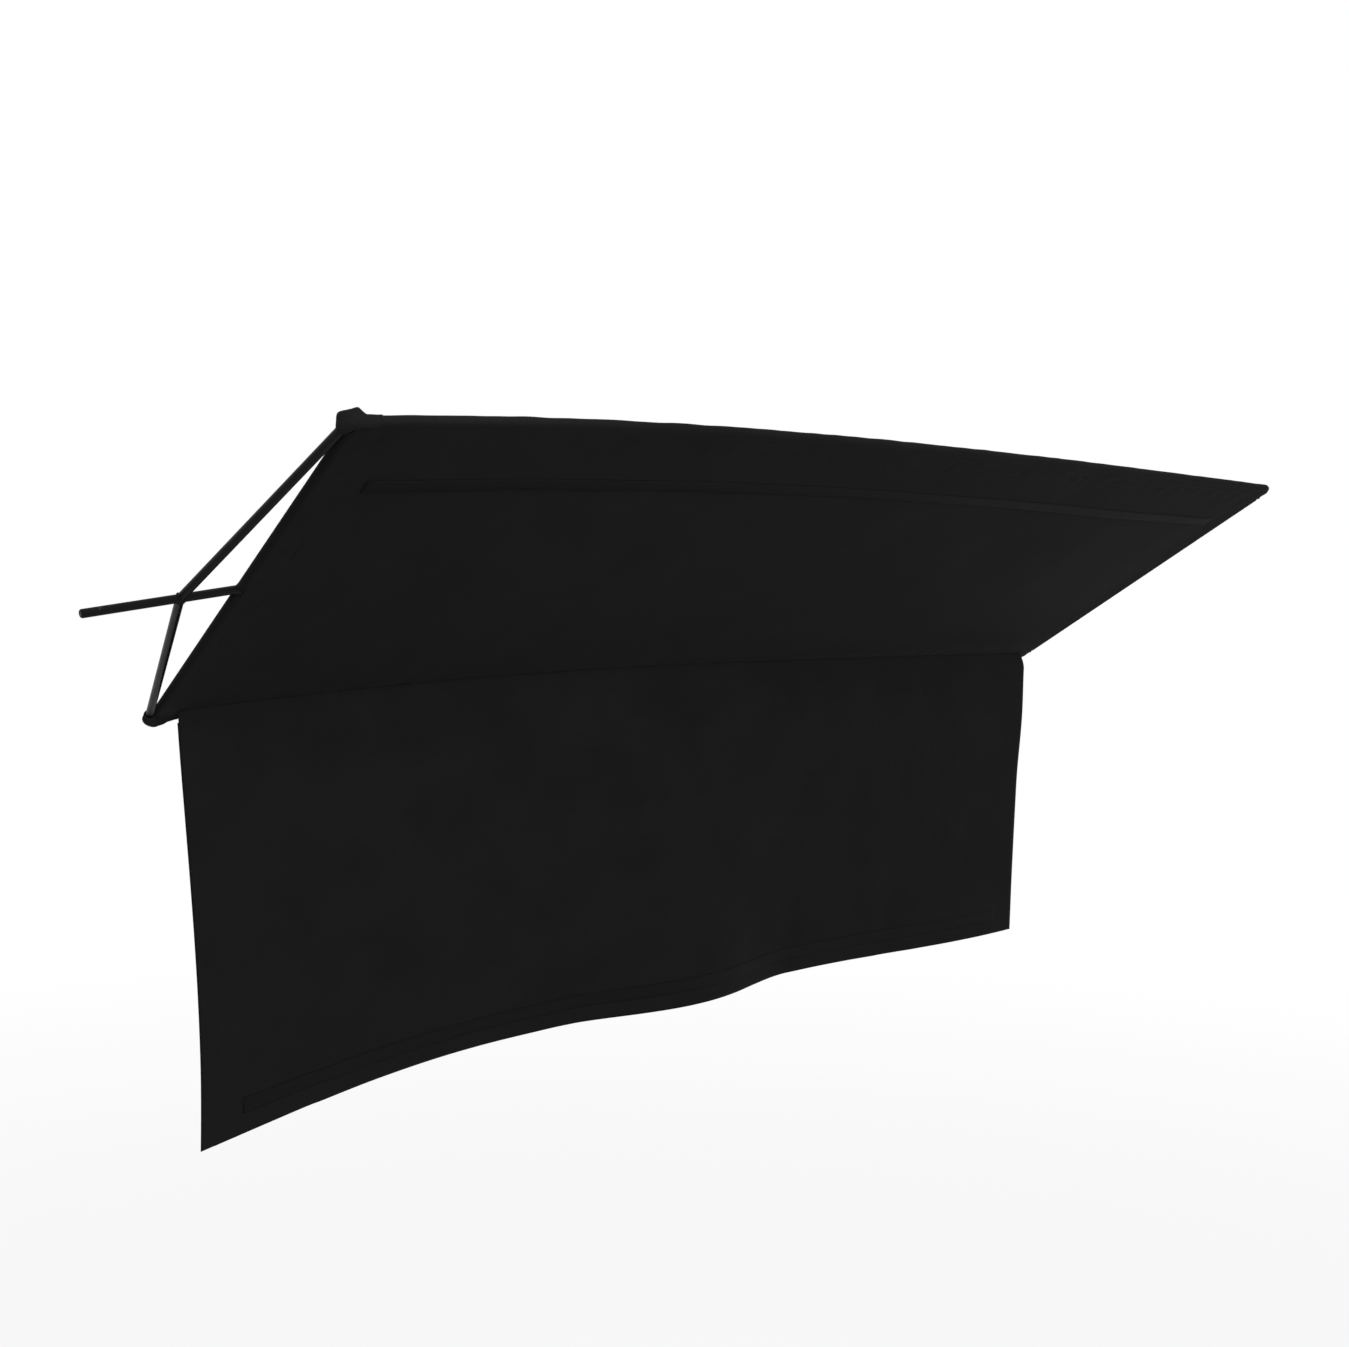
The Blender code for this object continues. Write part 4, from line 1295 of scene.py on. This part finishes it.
floor_mesh = bpy.data.meshes.new("floor")
floor_mesh.from_pydata([(x * FLOOR_REACH, y * FLOOR_REACH, -FLOOR_DROP)
                        for x, y in ((-1, -1), (1, -1), (1, 1), (-1, 1))], [], [(0, 1, 2, 3)])
floor_paint, floor_tree, floor_shader = new_material("pale_studio_floor", "#b0b0b1", 0.8)
white = add(floor_tree, "ShaderNodeEmission", inputs={"Color": linear("#ffffff"), "Strength": 1.0})
floor_place = add(floor_tree, "ShaderNodeTexCoord").outputs["Object"]
from_middle = add(floor_tree, "ShaderNodeVectorMath", {"operation": "DISTANCE"},
                  {0: floor_place, 1: (1.0, 0.0, -FLOOR_DROP)})
whiter = add(floor_tree, "ShaderNodeMapRange", {"interpolation_type": "SMOOTHSTEP"},
             {"Value": from_middle.outputs["Value"], "From Min": WHITE_STARTS, "From Max": WHITE_ENDS,
              "To Min": 0.90, "To Max": 1.0})
turned_white = add(floor_tree, "ShaderNodeMath", {"operation": "MULTIPLY"},
                   {0: seen_directly(floor_tree), 1: whiter.outputs["Result"]})
backed = add(floor_tree, "ShaderNodeMixShader", inputs={
    0: turned_white.outputs["Value"], 1: floor_shader.outputs["BSDF"], 2: white.outputs["Emission"]})
floor_tree.links.new(backed.outputs["Shader"], floor_tree.nodes["Material Output"].inputs["Surface"])
floor = new_object("floor", floor_mesh, floor_paint)
print("floor at", -FLOOR_DROP, "m")

# %% Light it softly
world = bpy.data.worlds.new("studio")
world.use_nodes = True
bpy.context.scene.world = world
sky_tree = world.node_tree
sky_tree.nodes.clear()
fill = add(sky_tree, "ShaderNodeBackground", inputs={"Color": linear("#f6f7f9"), "Strength": 0.44})
backdrop = add(sky_tree, "ShaderNodeBackground", inputs={
    "Color": linear("#ffffff"), "Strength": 1.0})
sky = add(sky_tree, "ShaderNodeMixShader", inputs={
    0: seen_directly(sky_tree), 1: fill.outputs["Background"], 2: backdrop.outputs["Background"]})
add(sky_tree, "ShaderNodeOutputWorld", inputs={"Surface": sky.outputs["Shader"]})

MIDDLE = Vector((0.95, 0.0, -0.1))


def soft_lamp(name, place, size, power):
    """A large soft lamp. The enamel reflects the white room, so no lamp shows in its gloss."""
    lamp = bpy.data.lights.new(name, "AREA")
    lamp.size = size
    lamp.energy = power
    holder = bpy.data.objects.new(name, lamp)
    bpy.context.scene.collection.objects.link(holder)
    holder.location = place
    holder.rotation_euler = (MIDDLE - Vector(place)).to_track_quat("-Z", "Y").to_euler()
    holder.visible_glossy = False


soft_lamp("key", (-0.8, -3.3, 1.1), 2.2, 126)
soft_lamp("fill", (3.0, -2.6, 0.8), 2.0, 26)
soft_lamp("rim", (0.6, 2.2, 2.0), 2.4, 45)
bpy.context.scene.view_settings.view_transform = "Standard"
print("lamps placed")
